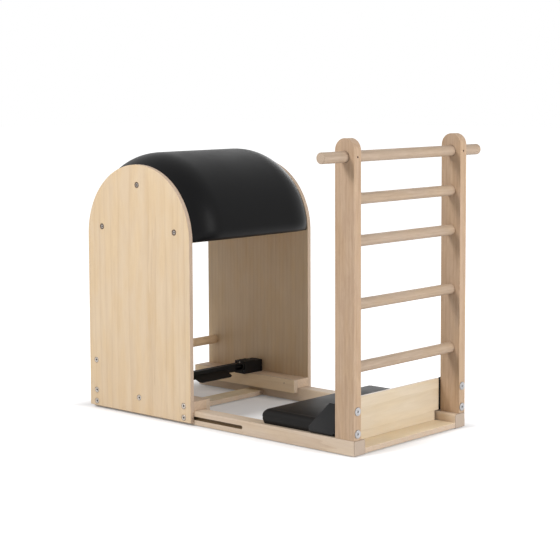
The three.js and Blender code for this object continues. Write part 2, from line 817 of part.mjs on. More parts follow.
addPair(apparatus, 'rail', rail(), 'beech');
const footPlaces = { front: -footInset, rear: footInset - railLength };
Object.entries(footPlaces).forEach(([name, x]) => {
  const foot = rodAlongY(footRadius, 0, footHeight - seat, 0);
  foot.rotateX(Math.PI / 2);
  addPair(apparatus, `foot_${name}`, placed(foot, x, railOuter - railWidth / 2, 0), 'rubber');
});
const between = railInner - seat;
const plyBottom = plyTop - plyThickness;
add(apparatus, 'base_plate', board(-basePlateDepth, 0, -between, between, plyBottom, plyTop), 'plywood');
const stripFront = -crossStripFromLadderEnd;
const stripRear = stripFront - crossStripWidth;
add(apparatus, 'cross_strip', board(stripRear, stripFront, -between, between, plyBottom, plyTop), 'plywood');
addPair(apparatus, 'post', post(), 'beech');
const handle = rodAlongY(handleRadius, -handleLength / 2, handleLength / 2, rodEase);
add(apparatus, 'handle_bar', placed(handle, -postDepth / 2, 0, handleHeight), 'beech');
const rungReach = postInner + tenonDepth;
rungHeights.forEach((z, i) => {
  const rung = rodAlongY(rungRadius, -rungReach, rungReach, ease);
  add(apparatus, `rung_${i + 1}`, placed(rung, -postDepth / 2, 0, z), 'beech');
});
add(apparatus, 'kick_board', kickBoard(), 'plywood');
addPair(apparatus, 'corner_bracket', bracket(), 'blackSteel');
addPair(apparatus, 'post_bolt_lower', postBolt(postBoltLow), 'zinc');
addPair(apparatus, 'post_bolt_upper', postBolt(postBoltHigh), 'zinc');
add(apparatus, 'foot_pad_board', padBoard(), 'plywood');
add(apparatus, 'foot_pad_cushion', footCushion(), 'vinyl');

addPair(carriage, 'side_panel', sidePanel(), 'plywood');
panelBolts().forEach((bolt) => addPair(carriage, bolt.name, panelBoltAt(bolt), 'zinc'));
addPair(carriage, 'barrel_rib', barrelRib(), 'plywood');
add(carriage, 'barrel_shell', barrelShell(), 'plywood');
add(carriage, 'barrel_cushion', barrelCushion(), 'vinyl');
add(carriage, 'stretcher_dowel', stretcher(), 'beech');
addPair(carriage, 'guide_block', guideBlock(), 'beech');
addPair(carriage, 'guide_plank', guidePlank(), 'plywood');
addPair(carriage, 'lock_housing', lockHousing(), 'blackSteel');
add(carriage, 'pedal_bar', pedal(), 'blackSteel');
addPair(carriage, 'lock_plunger', lockPlunger(), 'zinc');
addPair(carriage, 'lock_spring', lockSpring(), 'zinc');

// The origin is the bottom centre of the box round the whole apparatus
const extent = new THREE.Box3().setFromObject(apparatus);
apparatus.position.x = -(extent.min.x + extent.max.x) / 2;

export default apparatus;
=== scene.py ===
import json
from functools import partial
from math import asin, cos, exp, hypot, pi, radians, sin, sqrt

import bmesh
import bpy
from bmesh import ops
from mathutils import Matrix, Vector


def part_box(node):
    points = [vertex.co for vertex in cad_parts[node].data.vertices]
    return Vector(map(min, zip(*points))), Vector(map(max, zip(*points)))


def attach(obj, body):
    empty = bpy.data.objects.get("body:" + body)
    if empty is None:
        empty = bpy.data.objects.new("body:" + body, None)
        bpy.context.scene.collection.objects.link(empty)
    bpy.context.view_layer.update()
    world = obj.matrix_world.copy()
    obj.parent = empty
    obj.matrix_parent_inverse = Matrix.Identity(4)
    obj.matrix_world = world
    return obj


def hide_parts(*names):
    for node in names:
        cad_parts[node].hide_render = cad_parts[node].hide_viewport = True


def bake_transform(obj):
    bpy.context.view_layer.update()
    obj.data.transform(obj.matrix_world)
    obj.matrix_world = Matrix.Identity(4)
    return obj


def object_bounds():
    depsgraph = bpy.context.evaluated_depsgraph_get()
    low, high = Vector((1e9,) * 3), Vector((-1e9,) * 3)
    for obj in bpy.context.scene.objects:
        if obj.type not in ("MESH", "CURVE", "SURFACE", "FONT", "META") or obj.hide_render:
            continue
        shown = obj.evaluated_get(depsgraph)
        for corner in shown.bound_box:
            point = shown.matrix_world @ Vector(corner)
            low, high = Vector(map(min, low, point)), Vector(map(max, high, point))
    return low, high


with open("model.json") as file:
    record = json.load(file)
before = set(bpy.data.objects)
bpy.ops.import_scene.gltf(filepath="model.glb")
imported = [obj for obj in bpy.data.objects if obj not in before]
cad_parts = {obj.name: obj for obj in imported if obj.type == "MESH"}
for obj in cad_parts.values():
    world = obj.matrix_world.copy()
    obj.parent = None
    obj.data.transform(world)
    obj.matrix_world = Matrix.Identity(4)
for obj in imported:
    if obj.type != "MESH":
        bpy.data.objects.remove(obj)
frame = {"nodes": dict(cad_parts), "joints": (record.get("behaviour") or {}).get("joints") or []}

cad_low, cad_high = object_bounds()

# Rails. Two beech lengths run the whole depth of the apparatus. Each has two blind slots routed
# in its outer face for the carriage's guide pins, and the inner top edge is rounded over.

SIDES = (("left", 1), ("right", -1))
MM = 0.001

RAIL_ROUND = 6 * MM
RAIL_EASE = 1 * MM
SLOT_WIDTH = 13 * MM
SLOT_DEPTH = 16 * MM
END_FACE = 0.98
END_RIM = 0.2

SAWN_EDGE = 1.2 * MM
SHARP_EDGE = radians(40)
CRISP_EDGE = radians(38)
BOARD_EDGE = 0.6
WELD = 0.002 * MM

# Repeats of the wood's figure in a metre: twice across the grain, and along it.
STREAKS = (1 / (1.5 * MM), 1 / (1.5 * MM), 1 / (80 * MM))
SPECKS = (1100.0, 1100.0, 150.0)
SPECK_PATCHES = (160.0, 160.0, 40.0)
SAPWOOD_PATCHES = (22.0, 22.0, 5.0)
SAPWOOD_TINT = (1.0, 0.93, 0.76, 1.0)
FLECK_BROWN = (0.16, 0.09, 0.05, 1.0)
LACQUER_DULL = (0.42, 0.56)

GRAIN_TURNS = {"X": (0, pi / 2, 0), "Y": (pi / 2, 0, 0), "Z": (0, 0, 0)}
AXIS_TURNS = {"X": Matrix.Rotation(pi / 2, 4, "Y"), "Y": Matrix.Rotation(pi / 2, 4, "X"),
              "Z": Matrix.Identity(4)}


def linear(screen):
    """A colour measured on screen, 0 to 255, as the shader wants it."""
    parts = [c / 255 for c in screen]
    curve = [c / 12.92 if c <= 0.04045 else ((c + 0.055) / 1.055) ** 2.4 for c in parts]
    return (*curve, 1.0)


def assign(thing, **settings):
    """Sets attributes of a thing, and hands it back."""
    for key, value in settings.items():
        setattr(thing, key, value)
    return thing


def feed(node, inputs):
    """Links each input whose value is a socket, and sets every other."""
    for key, value in inputs.items():
        if isinstance(value, bpy.types.NodeSocket):
            node.id_data.links.new(value, node.inputs[key])
        else:
            node.inputs[key].default_value = value
    return node


def put(kind, inputs, tree=None, **settings):
    """A shader node with its settings and inputs, in the tree that its inputs come from."""
    sockets = [value for value in inputs.values() if isinstance(value, bpy.types.NodeSocket)]
    node = (tree or sockets[0].id_data).nodes.new("ShaderNode" + kind)
    return feed(assign(node, **settings), inputs)


def calc(operation, a, b=0.0, clamp=False):
    return put("Math", {0: a, 1: b}, operation=operation, use_clamp=clamp).outputs[0]


plus = partial(calc, "ADD")
minus = partial(calc, "SUBTRACT")
times = partial(calc, "MULTIPLY")
over = partial(calc, "DIVIDE")


def remap(value, low, high, to_low=0.0, to_high=1.0):
    inputs = {"Value": value, 1: low, 2: high, 3: to_low, 4: to_high}
    return put("MapRange", inputs).outputs[0]


def blended(factor, a, b, mode="MIX"):
    inputs = {"Factor": factor, "A": a, "B": b}
    return put("Mix", inputs, data_type="RGBA", blend_type=mode).outputs["Result"]


def stretched(vector, x, y, z):
    scale = put("CombineXYZ", {0: x, 1: y, 2: z}, vector.id_data).outputs[0]
    return put("VectorMath", {0: vector, 1: scale}, operation="MULTIPLY").outputs[0]


def noise(vector, scale, detail=3.0, roughness=0.5, distortion=0.0):
    """Noise of one scale, or of a scale for each axis."""
    if isinstance(scale, tuple):
        vector, scale = stretched(vector, *scale), 1.0
    inputs = {"Vector": vector, "Scale": scale, "Detail": detail, "Roughness": roughness,
              "Distortion": distortion}
    return put("TexNoise", inputs).outputs["Fac"]


def group(name, inputs, outputs):
    """An empty shader group, its input node's outputs and its output node. Each input is given by
    its default number or by its kind."""
    tree = bpy.data.node_groups.new(name, "ShaderNodeTree")
    for label, value in inputs.items():
        kind = value if isinstance(value, str) else "Float"
        socket = tree.interface.new_socket(label, in_out="INPUT", socket_type="NodeSocket" + kind)
        if kind == "Float":
            socket.default_value = value
    for label, kind in outputs.items():
        tree.interface.new_socket(label, in_out="OUTPUT", socket_type="NodeSocket" + kind)
    entry = tree.nodes.new("NodeGroupInput")
    return tree, entry.outputs, tree.nodes.new("NodeGroupOutput")


def wood_figure():
    """Wavy bands, fine streaks, the pointed arches of flat-sawn growth rings, short dark flecks and
    patches of warmer sapwood. Z runs along the grain."""
    tree, given, result = group("Wood figure", {
        "Vector": "Vector", "Streaks": 0.6, "Bands": 0.6, "Band Width": 20 * MM, "Arches": 0.3,
        "Arch Width": 12 * MM, "Flecks": 0.3, "Warmth": 0.3, "Light": "Color", "Dark": "Color",
    }, {"Color": "Color", "Height": "Float"})
    vector = given["Vector"]
    streaks = noise(vector, STREAKS, detail=5.0, roughness=0.65)
    wide = over(1.0, given["Band Width"])
    long = times(wide, 0.13)
    bands = noise(vector, (wide, wide, long), detail=4.0, roughness=0.62, distortion=0.8)
    arch = over(0.314, given["Arch Width"])
    arches = put("TexWave", {
        "Vector": stretched(vector, arch, arch, times(arch, 0.045)),
        "Scale": 1.0, "Distortion": 5.0, "Detail": 3.0, "Detail Scale": 0.6,
        "Detail Roughness": 0.6,
    }, wave_type="RINGS", rings_direction="SPHERICAL", wave_profile="SAW").outputs["Fac"]
    speck_space = stretched(vector, *SPECKS)
    specks = put("TexVoronoi", {"Vector": speck_space, "Scale": 1.0}).outputs
    near = remap(specks["Distance"], 0.1, 0.34, 1.0, 0.0)
    some = remap(noise(vector, SPECK_PATCHES, detail=1.0), 0.45, 0.62)
    flecks = times(times(near, some), given["Flecks"])
    streak_tone = times(minus(streaks, 0.5), given["Streaks"])
    band_tone = times(minus(bands, 0.5), given["Bands"])
    arch_tone = times(calc("POWER", arches, 5.0), given["Arches"])
    figure_tone = plus(plus(streak_tone, band_tone), arch_tone)
    tone = plus(figure_tone, 0.5, clamp=True)
    sapwood = noise(vector, SAPWOOD_PATCHES, roughness=0.55)
    warm = remap(sapwood, 0.42, 0.6, 0.0, given["Warmth"])
    cool = blended(tone, given["Light"], given["Dark"])
    plain = blended(warm, cool, SAPWOOD_TINT, "MULTIPLY")
    deep = blended(0.55, given["Dark"], FLECK_BROWN)
    height = minus(times(streaks, 0.6), flecks)
    feed(result, {"Color": blended(flecks, plain, deep), "Height": height})
    return tree


def handling():
    """Soft patches where lacquer and cover are duller from use."""
    tree, given, result = group("Handling", {
        "Vector": "Vector", "Patch Size": 100 * MM, "Least": 0.4, "Most": 0.5,
    }, {"Roughness": "Float"})
    scale = over(1.0, given["Patch Size"])
    patches = noise(given["Vector"], scale, roughness=0.6)
    feed(result, {"Roughness": remap(patches, 0.3, 0.7, given["Least"], given["Most"])})
    return tree


WOOD_FIGURE = wood_figure()
HANDLING = handling()


def new_material(name):
    """A material with a bare shader, and its object coordinates."""
    material = bpy.data.materials.new(name)
    material.use_nodes = True
    return material, put("TexCoord", {}, material.node_tree).outputs["Object"]


def dulled(place, least, most, patch=100 * MM):
    inputs = {"Vector": place, "Patch Size": patch, "Least": least, "Most": most}
    return put("Group", inputs, node_tree=HANDLING).outputs["Roughness"]


def coated(material, colour, roughness, height, depth, strength, shine=0.5, metal=0.0):
    """Joins a surface's colour, dullness and relief to its material's shader."""
    bump = put("Bump", {"Height": height, "Distance": depth, "Strength": strength})
    feed(material.node_tree.nodes["Principled BSDF"], {
        "Base Color": colour, "Roughness": roughness, "Specular IOR Level": shine,
        "Metallic": metal, "Normal": bump.outputs["Normal"]})
    return material


def wood(name, grain, light, dark, shift=(0, 0, 0), **figure):
    """Lacquered wood with its grain along one axis, and its own values for the figure's inputs."""
    material, place = new_material(name)
    turned = put("Mapping", {"Vector": place, "Location": shift, "Rotation": GRAIN_TURNS[grain]})
    inputs = {label.replace("_", " ").title(): value for label, value in figure.items()}
    inputs |= {"Vector": turned.outputs[0], "Light": linear(light), "Dark": linear(dark)}
    made = put("Group", inputs, node_tree=WOOD_FIGURE).outputs
    return coated(material, made["Color"], dulled(place, *LACQUER_DULL), made["Height"],
                  0.15 * MM, 0.35, shine=0.35)


def end_grain(name, axis, light, dark):
    """Sawn end grain: faint growth rings and open pores."""
    material, place = new_material(name)
    waves = {"Vector": place, "Scale": 55.0, "Distortion": 3.0, "Detail": 2.0}
    rings = put("TexWave", waves, wave_type="RINGS", rings_direction=axis).outputs
    pores = noise(place, 1500.0, detail=2.0, roughness=0.7)
    tone = plus(times(rings["Fac"], 0.35), times(pores, 0.6), clamp=True)
    return coated(material, blended(tone, linear(light), linear(dark)), 0.6, pores, 0.15 * MM, 0.4,
                  shine=0.25)


def span(edge, axis):
    """How far an edge runs along an axis."""
    return abs(edge.verts[0].co[axis] - edge.verts[1].co[axis])


def box_shape(low, high, bm=None):
    """A box, as a shape of its own or added to another."""
    bm = bm or bmesh.new()
    size = Matrix.Diagonal((*(high - low), 1))
    ops.create_cube(bm, size=1, matrix=Matrix.Translation((low + high) / 2) @ size)
    return bm


def bevel(bm, edges, width, segments=3):
    ops.bevel(bm, geom=edges, offset=width, segments=segments, affect="EDGES", profile=0.5,
              material=-1, clamp_overlap=True)


def soften(bm, width=SAWN_EDGE, segments=3):
    """Breaks every sharp edge."""
    bevel(bm, [e for e in bm.edges if e.calc_face_angle(0) > SHARP_EDGE], width, segments)


def ring(bm, centre, axis, radius, segments=32, stretch=None):
    """A ring of edges square to an axis. With a stretch it is drawn out into a slot's outline."""
    half_step = Matrix.Rotation(pi / segments, 4, "Z")
    place = Matrix.Translation(centre) @ AXIS_TURNS[axis] @ half_step
    made = ops.create_circle(bm, cap_ends=False, radius=radius, segments=segments, matrix=place)
    if stretch:
        far = [v for v in made["verts"] if (v.co - Vector(centre)).dot(stretch) > 0]
        ops.translate(bm, verts=far, vec=stretch)
    return list({e for v in made["verts"] for e in v.link_edges})


def join_rings(bm, rings, blind=False, coat=0):
    """The wall of a hole, from ring to ring, with a floor if it is blind."""
    made = []
    for first, second in zip(rings, rings[1:]):
        made += ops.bridge_loops(bm, edges=first + second)["faces"]
    if blind:
        made += ops.edgeloop_fill(bm, edges=rings[-1])["faces"]
    for face in made:
        face.material_index = coat


def drill(bm, centre, axis, levels, radius, segments, stretch=None, blind=True, coat=0):
    """A straight hole along an axis, from level to level. It gives the rings of its two ends."""
    rings = []
    for level in levels:
        place = Vector(centre)
        place["XYZ".index(axis)] = level
        rings.append(ring(bm, place, axis, radius, segments, stretch))
    join_rings(bm, rings, blind, coat)
    return rings


def open_face(bm, face, rings):
    """Fills a flat face again, round the rings that its holes start from."""
    border = list(face.edges)
    normal = face.normal.copy()
    ops.delete(bm, geom=[face], context="FACES_ONLY")
    edges = border + [e for each in rings for e in each]
    ops.triangle_fill(bm, use_beauty=True, normal=normal, edges=edges)


def open_side(bm, normal, rings):
    """Opens the largest face that looks along a direction."""
    facing = [f for f in bm.faces if f.normal.dot(Vector(normal)) > 0.999]
    open_face(bm, max(facing, key=lambda f: f.calc_area()), rings)


def new_object(name, bm):
    mesh = bpy.data.meshes.new(name)
    bm.to_mesh(mesh)
    bm.free()
    thing = bpy.data.objects.new(name, mesh)
    bpy.context.scene.collection.objects.link(thing)
    return thing


def finish_piece(name, bm, body, nodes, coats, thickness=None, crisp=CRISP_EDGE):
    """The finished object: outward faces, soft shading over its small bevels, and its CAD ties.
    With a thickness axis, the faces along a board's edge get the second coat."""
    ops.remove_doubles(bm, verts=bm.verts, dist=WELD)
    ops.recalc_face_normals(bm, faces=bm.faces)
    for face in bm.faces:
        face.smooth = True
        if thickness is not None and abs(face.normal[thickness]) < BOARD_EDGE:
            face.material_index = 1
    for edge in bm.edges:
        edge.smooth = edge.calc_face_angle(0) < crisp
    piece = new_object(name, bm)
    for coat in coats:
        piece.data.materials.append(coat)
    piece.modifiers.new("Even shading", "WEIGHTED_NORMAL").keep_sharp = True
    if body:
        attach(piece, body)
    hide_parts(*nodes)
    return piece


def middle(node):
    low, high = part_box(node)
    return (low + high) / 2


def side_box(node, sign):
    """The box of a piece on one side, and where its inner and its outer face are."""
    low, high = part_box(node)
    return low, high, *((low.y, high.y) if sign > 0 else (high.y, low.y))


travel = next(j["range_m"][1] for j in frame["joints"] if j["name"] == "carriage_slide")
rail_beech = wood("rail beech", "X", (225, 209, 189), (196, 173, 151), bands=0.7, flecks=0.25)
# The slots' walls and floors take a darker beech: painted shade inside the routed slots.
slot_painted_shade = wood("routed beech painted shade", "X", (150, 126, 96), (118, 96, 70))
rail_end = end_grain("rail end grain", "X", (200, 184, 168), (168, 148, 130))
# The eased rim round each rail's end is a dark end grain: painted shade, for the dark line where
# the end meets the base plate.
rail_rim_painted_shade = end_grain("rail end rim painted shade", "X", (150, 128, 108), (118, 96, 78))
rail_coats = [rail_beech, rail_end, slot_painted_shade, rail_rim_painted_shade]

for side, sign in SIDES:
    low, high, inner, outer = side_box(f"rail_{side}", sign)
    bm = box_shape(low, high)
    top_inner = [e for e in bm.edges
                 if all(abs(v.co.y - inner) < MM and abs(v.co.z - high.z) < MM for v in e.verts)]
    bevel(bm, top_inner, RAIL_ROUND, 6)
    soften(bm, RAIL_EASE)
    # End faces take end grain, the eased rim round them the painted shade, and the rest rail beech.
    for face in bm.faces:
        turned = abs(face.normal.x)
        face.material_index = 1 if turned > END_FACE else 3 if turned > END_RIM else 0
    levels = (outer, outer - sign * SLOT_DEPTH)
    slots = [drill(bm, middle(f"guide_pin_{place}_{side}"), "Y", levels, SLOT_WIDTH / 2, 28,
                   Vector((travel, 0, 0)), coat=2)[0] for place in ("front", "rear")]
    open_side(bm, (0, sign, 0), slots)
    finish_piece(f"{side}_rail", bm, "base", [f"rail_{side}"], rail_coats)

# Rubber feet. A thin disc is glued under each end of both rails, which keeps the wood off the
# floor. They are punched from sheet and keep the shape that the frame gives them.

RUBBER = (46, 46, 47)


def rubber():
    material, place = new_material("foot rubber")
    grit = noise(place, 1800.0, detail=2.0)
    return coated(material, linear(RUBBER), remap(grit, 0.0, 1.0, 0.78, 0.92), grit, 0.1 * MM, 0.5)


def coat_node(node, material):
    """A finish for a CAD node that keeps its own shape."""
    mesh = frame["nodes"][node].data
    mesh.materials.clear()
    mesh.materials.append(material)


foot_rubber = rubber()
for side, _ in SIDES:
    for place in ("front", "rear"):
        coat_node(f"foot_{place}_{side}", foot_rubber)

# Base plate and cross strip. Birch plywood let in between the rails: the plate is what one steps
# on in front of the ladder, and the strip ties the rails under the carriage. Their plies show.

GLUE_BROWN = (0.12, 0.07, 0.045, 1.0)
VENEER = 1.4 * MM
SAWN_DULL = (0.5, 0.64)


def ply_layers():
    """The plies along a board's edge: pale long-grain ones between darker end-grain ones, and glue
    lines."""
    tree, given, result = group("Ply layers", {
        "Vector": "Vector", "Depth": 0.0, "Light": "Color", "Dark": "Color",
    }, {"Color": "Color", "Height": "Float"})
    waver = noise(given["Vector"], 18.0)
    wobble = times(minus(waver, 0.5), 0.3)
    count = plus(over(given["Depth"], VENEER), wobble)
    wave = calc("SINE", times(count, pi))
    layer = remap(wave, -0.35, 0.35)
    glue = remap(calc("ABSOLUTE", wave), 0.0, 0.3, 1.0, 0.0)
    fibres = noise(given["Vector"], 420.0, roughness=0.7)
    tone = plus(times(layer, 0.55), times(minus(fibres, 0.35), 0.55), clamp=True)
    plies = blended(tone, given["Light"], given["Dark"])
    line = times(glue, 0.3)
    height = minus(times(fibres, 0.5), line)
    feed(result, {"Color": blended(line, plies, GLUE_BROWN), "Height": height})
    return tree


PLY_LAYERS = ply_layers()


def ply_edge(name, axis, light=(222, 203, 182), dark=(176, 146, 118)):
    """A plywood board's edge, with its plies stacked along one axis."""
    material, place = new_material(name)
    depth = put("SeparateXYZ", {0: place}).outputs[axis]
    layers = put("Group", {
        "Vector": place, "Depth": depth, "Light": linear(light), "Dark": linear(dark),
    }, node_tree=PLY_LAYERS).outputs
    return coated(material, layers["Color"], dulled(place, *SAWN_DULL), layers["Height"],
                  0.2 * MM, 0.4, shine=0.3)


lying_birch = wood("lying birch", "Y", (239, 222, 194), (219, 198, 166), streaks=0.5, bands=0.9,
                   flecks=0.06, band_width=34 * MM)
lying_coats = [lying_birch, ply_edge("lying ply edge", 2)]
for name in ("base_plate", "cross_strip"):
    bm = box_shape(*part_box(name))
    soften(bm)
    finish_piece(f"birch_{name}", bm, "base", [name], lying_coats, thickness=2)

# Ladder posts. Beech boards on edge with full round heads. The handle runs through each of them,
# the rungs are glued in blind sockets, and a small hole in front takes the handle's pin.

POST_EASE = 1.5 * MM
FIT = 0.3 * MM
SOCKET_DEPTH = 16.3 * MM
HANDLE_FIT = 0.9 * MM
PIN_RADIUS = 3.5 * MM
PIN_DEPTH = 9 * MM
BOLT_RECESS_RADIUS = 15 * MM
BOLT_RECESS_DEPTH = 1.8 * MM
RUNGS = (1, 2, 3, 4)


def round_head(bm, low, high, segments):
    """Rounds the top of an upright board over, into a half circle as wide as the board."""
    head = [e for e in bm.edges
            if all(abs(v.co.z - high.z) < MM for v in e.verts) and span(e, 0) < MM]
    bevel(bm, head, (high.x - low.x) / 2 - 0.001 * MM, segments)
    ops.remove_doubles(bm, verts=bm.verts, dist=0.01 * MM)


def rod_radius(node):
    low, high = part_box(node)
    return (high.z - low.z) / 2


post_beech = wood("post beech", "Z", (201, 175, 148), (168, 138, 112), streaks=1.1, bands=1.1,
                  flecks=0.5, band_width=16 * MM)
pin_shade = wood("pin hole shade", "X", (84, 60, 44), (60, 42, 30))

for side, sign in SIDES:
    low, high, inner, outer = side_box(f"post_{side}", sign)
    bm = box_shape(low, high)
    round_head(bm, low, high, 20)
    soften(bm, POST_EASE)
    handle = middle("handle_bar")
    through = drill(bm, handle, "Y", (inner, outer), rod_radius("handle_bar") + HANDLE_FIT, 48,
                    blind=False)
    levels = (inner, inner + sign * SOCKET_DEPTH)
    sockets = [drill(bm, middle(f"rung_{number}"), "Y", levels, rod_radius("rung_1") + FIT, 40)[0]
               for number in RUNGS]
    open_side(bm, (0, -sign, 0), sockets + [through[0]])
    open_side(bm, (0, sign, 0), [through[1]])
    centre_y = (low.y + high.y) / 2
    levels = (high.x, high.x - PIN_DEPTH)
    front = [drill(bm, (0, centre_y, handle.z), "X", levels, PIN_RADIUS, 20, coat=1)[0]]
    levels = (high.x, high.x - BOLT_RECESS_DEPTH)
    for level in ("lower", "upper"):
        centre = (0, centre_y, middle(f"post_bolt_{level}_{side}").z)
        front.append(drill(bm, centre, "X", levels, BOLT_RECESS_RADIUS, 40)[0])
    open_side(bm, (1, 0, 0), front)
    finish_piece(f"{side}_post", bm, "base", [f"post_{side}"], [post_beech, pin_shade])

# Handle and rungs. Turned beech rods of one thickness: the handle runs out past both posts, and its
# free ends are rounded. End grain shows as faint rings and pores.

ROD_EASE = 2.5 * MM
HANDLE_EASE = 4 * MM
ROD_END = 0.9


def cylinder(radius, length, segments, centre, axis="Z"):
    bm = bmesh.new()
    ops.create_cone(bm, cap_ends=True, segments=segments, radius1=radius, radius2=radius,
                    depth=length, matrix=Matrix.Translation(centre) @ AXIS_TURNS[axis])
    return bm


def rod(name, node, body, coats, edge=ROD_EASE):
    """Round stock along Y, as long and as thick as its CAD node, with its ends eased."""
    low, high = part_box(node)
    bm = cylinder(rod_radius(node), high.y - low.y, 56, (low + high) / 2, "Y")
    soften(bm, edge, 5)
    for face in bm.faces:
        face.material_index = 1 if abs(face.normal.y) > ROD_END else 0
    finish_piece(name, bm, body, [node], coats)


rod_beech = wood("rod beech", "Y", (193, 172, 151), (164, 142, 121), streaks=0.8, bands=0.9,
                 flecks=0.5, band_width=12 * MM)
rod_end = end_grain("rod end grain", "Y", (202, 182, 162), (168, 146, 124))
rod("beech_handle", "handle_bar", "base", [rod_beech, rod_end], edge=HANDLE_EASE)
for number in RUNGS:
    rod(f"beech_rung_{number}", f"rung_{number}", "base", [rod_beech, rod_end])

# Kick board. A thin birch plywood board across the posts' backs, which the feet push against. Its
# two lower corners are cut away to clear the rails.

KICK_NOTCH = 242 * MM
KICK_NOTCH_LIFT = 5 * MM


def only(kind, parts):
    return [part for part in parts if isinstance(part, kind)]


def push(bm, made, shift):
    """Moves what an extrusion has made."""
    ops.translate(bm, verts=only(bmesh.types.BMVert, made["geom"]), vec=shift)


kick_birch = wood("kick board birch", "Y", (226, 212, 190), (203, 185, 158), streaks=0.5,
                  bands=1.0, flecks=0.05, band_width=26 * MM)
# The board's edges are paler and greyer than other ply edges: painted highlight for its lit top
# edge.
kick_edge_painted_highlight = ply_edge("kick board edge painted highlight", 0, light=(242, 234, 226), dark=(216, 200, 184))
low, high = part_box("kick_board")
notch_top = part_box("rail_left")[1].z + KICK_NOTCH_LIFT
columns = (low.y, -KICK_NOTCH, KICK_NOTCH, high.y)
levels = (low.z, notch_top, high.z)
bm = bmesh.new()
ops.create_grid(bm, x_segments=3, y_segments=2, size=0.5)
spots = [(face, face.calc_center_median()) for face in bm.faces]
corners = [face for face, spot in spots if spot.y < 0 and abs(spot.x) > 0.2]
ops.delete(bm, geom=corners, context="FACES")
for vert in bm.verts:
    column, level = round((vert.co.x + 0.5) * 3), round((vert.co.y + 0.5) * 2)
    vert.co = (high.x, columns[column], levels[level])
ops.dissolve_faces(bm, faces=list(bm.faces))
push(bm, ops.extrude_face_region(bm, geom=list(bm.faces)), (low.x - high.x, 0, 0))
soften(bm)
finish_piece("birch_kick_board", bm, "base", ["kick_board"], [kick_birch, kick_edge_painted_highlight],
             thickness=0)

# Corner brackets. Four-millimetre steel, cut, folded twice and powder-coated black: a web beside
# the foot cushion, a flange behind the post and another on the rail.

STEEL = 4 * MM
FOLD_RADIUS = 9 * MM
FOLD_RELIEF = 11 * MM
WEB_FLAT = 13 * MM
SHEARED_EDGE = 0.5 * MM


def powder_coat():
    """Fine orange peel and faint clouding of a baked powder coat."""
    tree, given, result = group("Powder coat", {"Vector": "Vector"},
                                {"Height": "Float", "Tone": "Float"})
    feed(result, {"Height": noise(given["Vector"], 900.0, detail=2.0),
                  "Tone": noise(given["Vector"], 9.0)})
    return tree


POWDER_COAT = powder_coat()


def black_steel(name, light, dark, least=0.38, most=0.5, shine=0.3):
    material, place = new_material(name)
    coat = put("Group", {"Vector": place}, node_tree=POWDER_COAT).outputs
    return coated(material, blended(coat["Tone"], linear(dark), linear(light)),
                  dulled(place, least, most), coat["Height"], 0.08 * MM, 0.4, shine)


bracket_black = black_steel("bracket black", (27, 27, 28), (19, 19, 20), shine=0.2)

for side, sign in SIDES:
    low, high, inner, outer = side_box(f"corner_bracket_{side}", sign)
    plane = outer - sign * STEEL / 2
    front = high.x - STEEL / 2
    floor = low.z + STEEL / 2
    slant_foot = low.z + FOLD_RELIEF + WEB_FLAT
    web = [(front, low.z + FOLD_RELIEF), (front, high.z),
           (front - FOLD_RELIEF - WEB_FLAT, high.z), (low.x, slant_foot), (low.x, floor),
           (front - FOLD_RELIEF, floor), (front - FOLD_RELIEF, low.z + FOLD_RELIEF)]
    bm = bmesh.new()
    rim = [bm.verts.new((x, plane, z)) for x, z in web]
    bm.faces.new(rim)
    folds = [bm.edges.get((rim[0], rim[1])), bm.edges.get((rim[4], rim[5]))]
    for fold in folds:
        push(bm, ops.extrude_edge_only(bm, edges=[fold]), (0, inner - plane, 0))
    bevel(bm, folds, FOLD_RADIUS, 7)
    piece = finish_piece(f"{side}_bracket", bm, "base", [f"corner_bracket_{side}"],
                         [bracket_black])
    assign(piece.modifiers.new("Sheet", "SOLIDIFY"), thickness=STEEL, offset=0,
           use_even_offset=True)
    assign(piece.modifiers.new("Edge", "BEVEL"), width=SHEARED_EDGE, segments=2,
           limit_method="ANGLE", angle_limit=radians(50))

# Post bolts. Zinc-plated connector bolts with wide flat heads: each passes through a post from the
# front and screws into the bracket behind it.

POST_HEAD = {"radius": 14 * MM, "height": 3.5 * MM, "socket": 4.6 * MM, "dish": 0.9 * MM,
             "depth": 2.6 * MM}
BOLT_RADIUS = 4 * MM
HEAD_EASE = 0.5 * MM
RIM_SHARE = 0.74
DISH_SHARE = 0.62


def zinc(name, tone, least, most):
    """Plated steel: brushed in fine scratches, a little cloudy."""
    material, place = new_material(name)
    scratches = noise(place, 2600.0, detail=2.0, roughness=0.8)
    cloud = noise(place, 160.0, detail=2.0)
    darker = linear([c * 0.86 for c in tone])
    return coated(material, blended(cloud, darker, linear(tone)),
                  remap(scratches, 0.0, 1.0, least, most), scratches, 0.02 * MM, 0.3, metal=1.0)


def bolt_shape(length, radius, height, socket, dish, depth):
    """A flat-headed bolt whose head looks along +Z, its face at height zero: a broken rim, a dished
    middle that takes the third coat, and a hexagon socket that takes the second."""
    bm = cylinder(radius, height, 48, (0, 0, -height / 2))
    bevel(bm, [e for e in bm.edges if all(v.co.z > -0.01 * MM for v in e.verts)], HEAD_EASE)
    rings = [ring(bm, (0, 0, z), "Z", r, n) for r, z, n in
             ((radius * RIM_SHARE, 0, 48), (radius * DISH_SHARE, -dish, 48), (socket, -dish, 6),
              (socket, -depth, 6))]
    join_rings(bm, rings[:2])
    join_rings(bm, rings[2:], blind=True, coat=1)
    open_side(bm, (0, 0, 1), rings[:1])
    dished = ops.triangle_fill(bm, use_beauty=True, edges=rings[1] + rings[2], normal=(0, 0, 1))
    for face in only(bmesh.types.BMFace, dished["geom"]):
        face.material_index = 2
    shank = drill(bm, (0, 0, 0), "Z", (-height, -length), BOLT_RADIUS, 20)
    back = min((f for f in bm.faces if f.normal.z < -0.9 and len(f.verts) > 30),
               key=lambda f: f.calc_center_median().z)
    open_face(bm, back, shank[:1])
    return bm


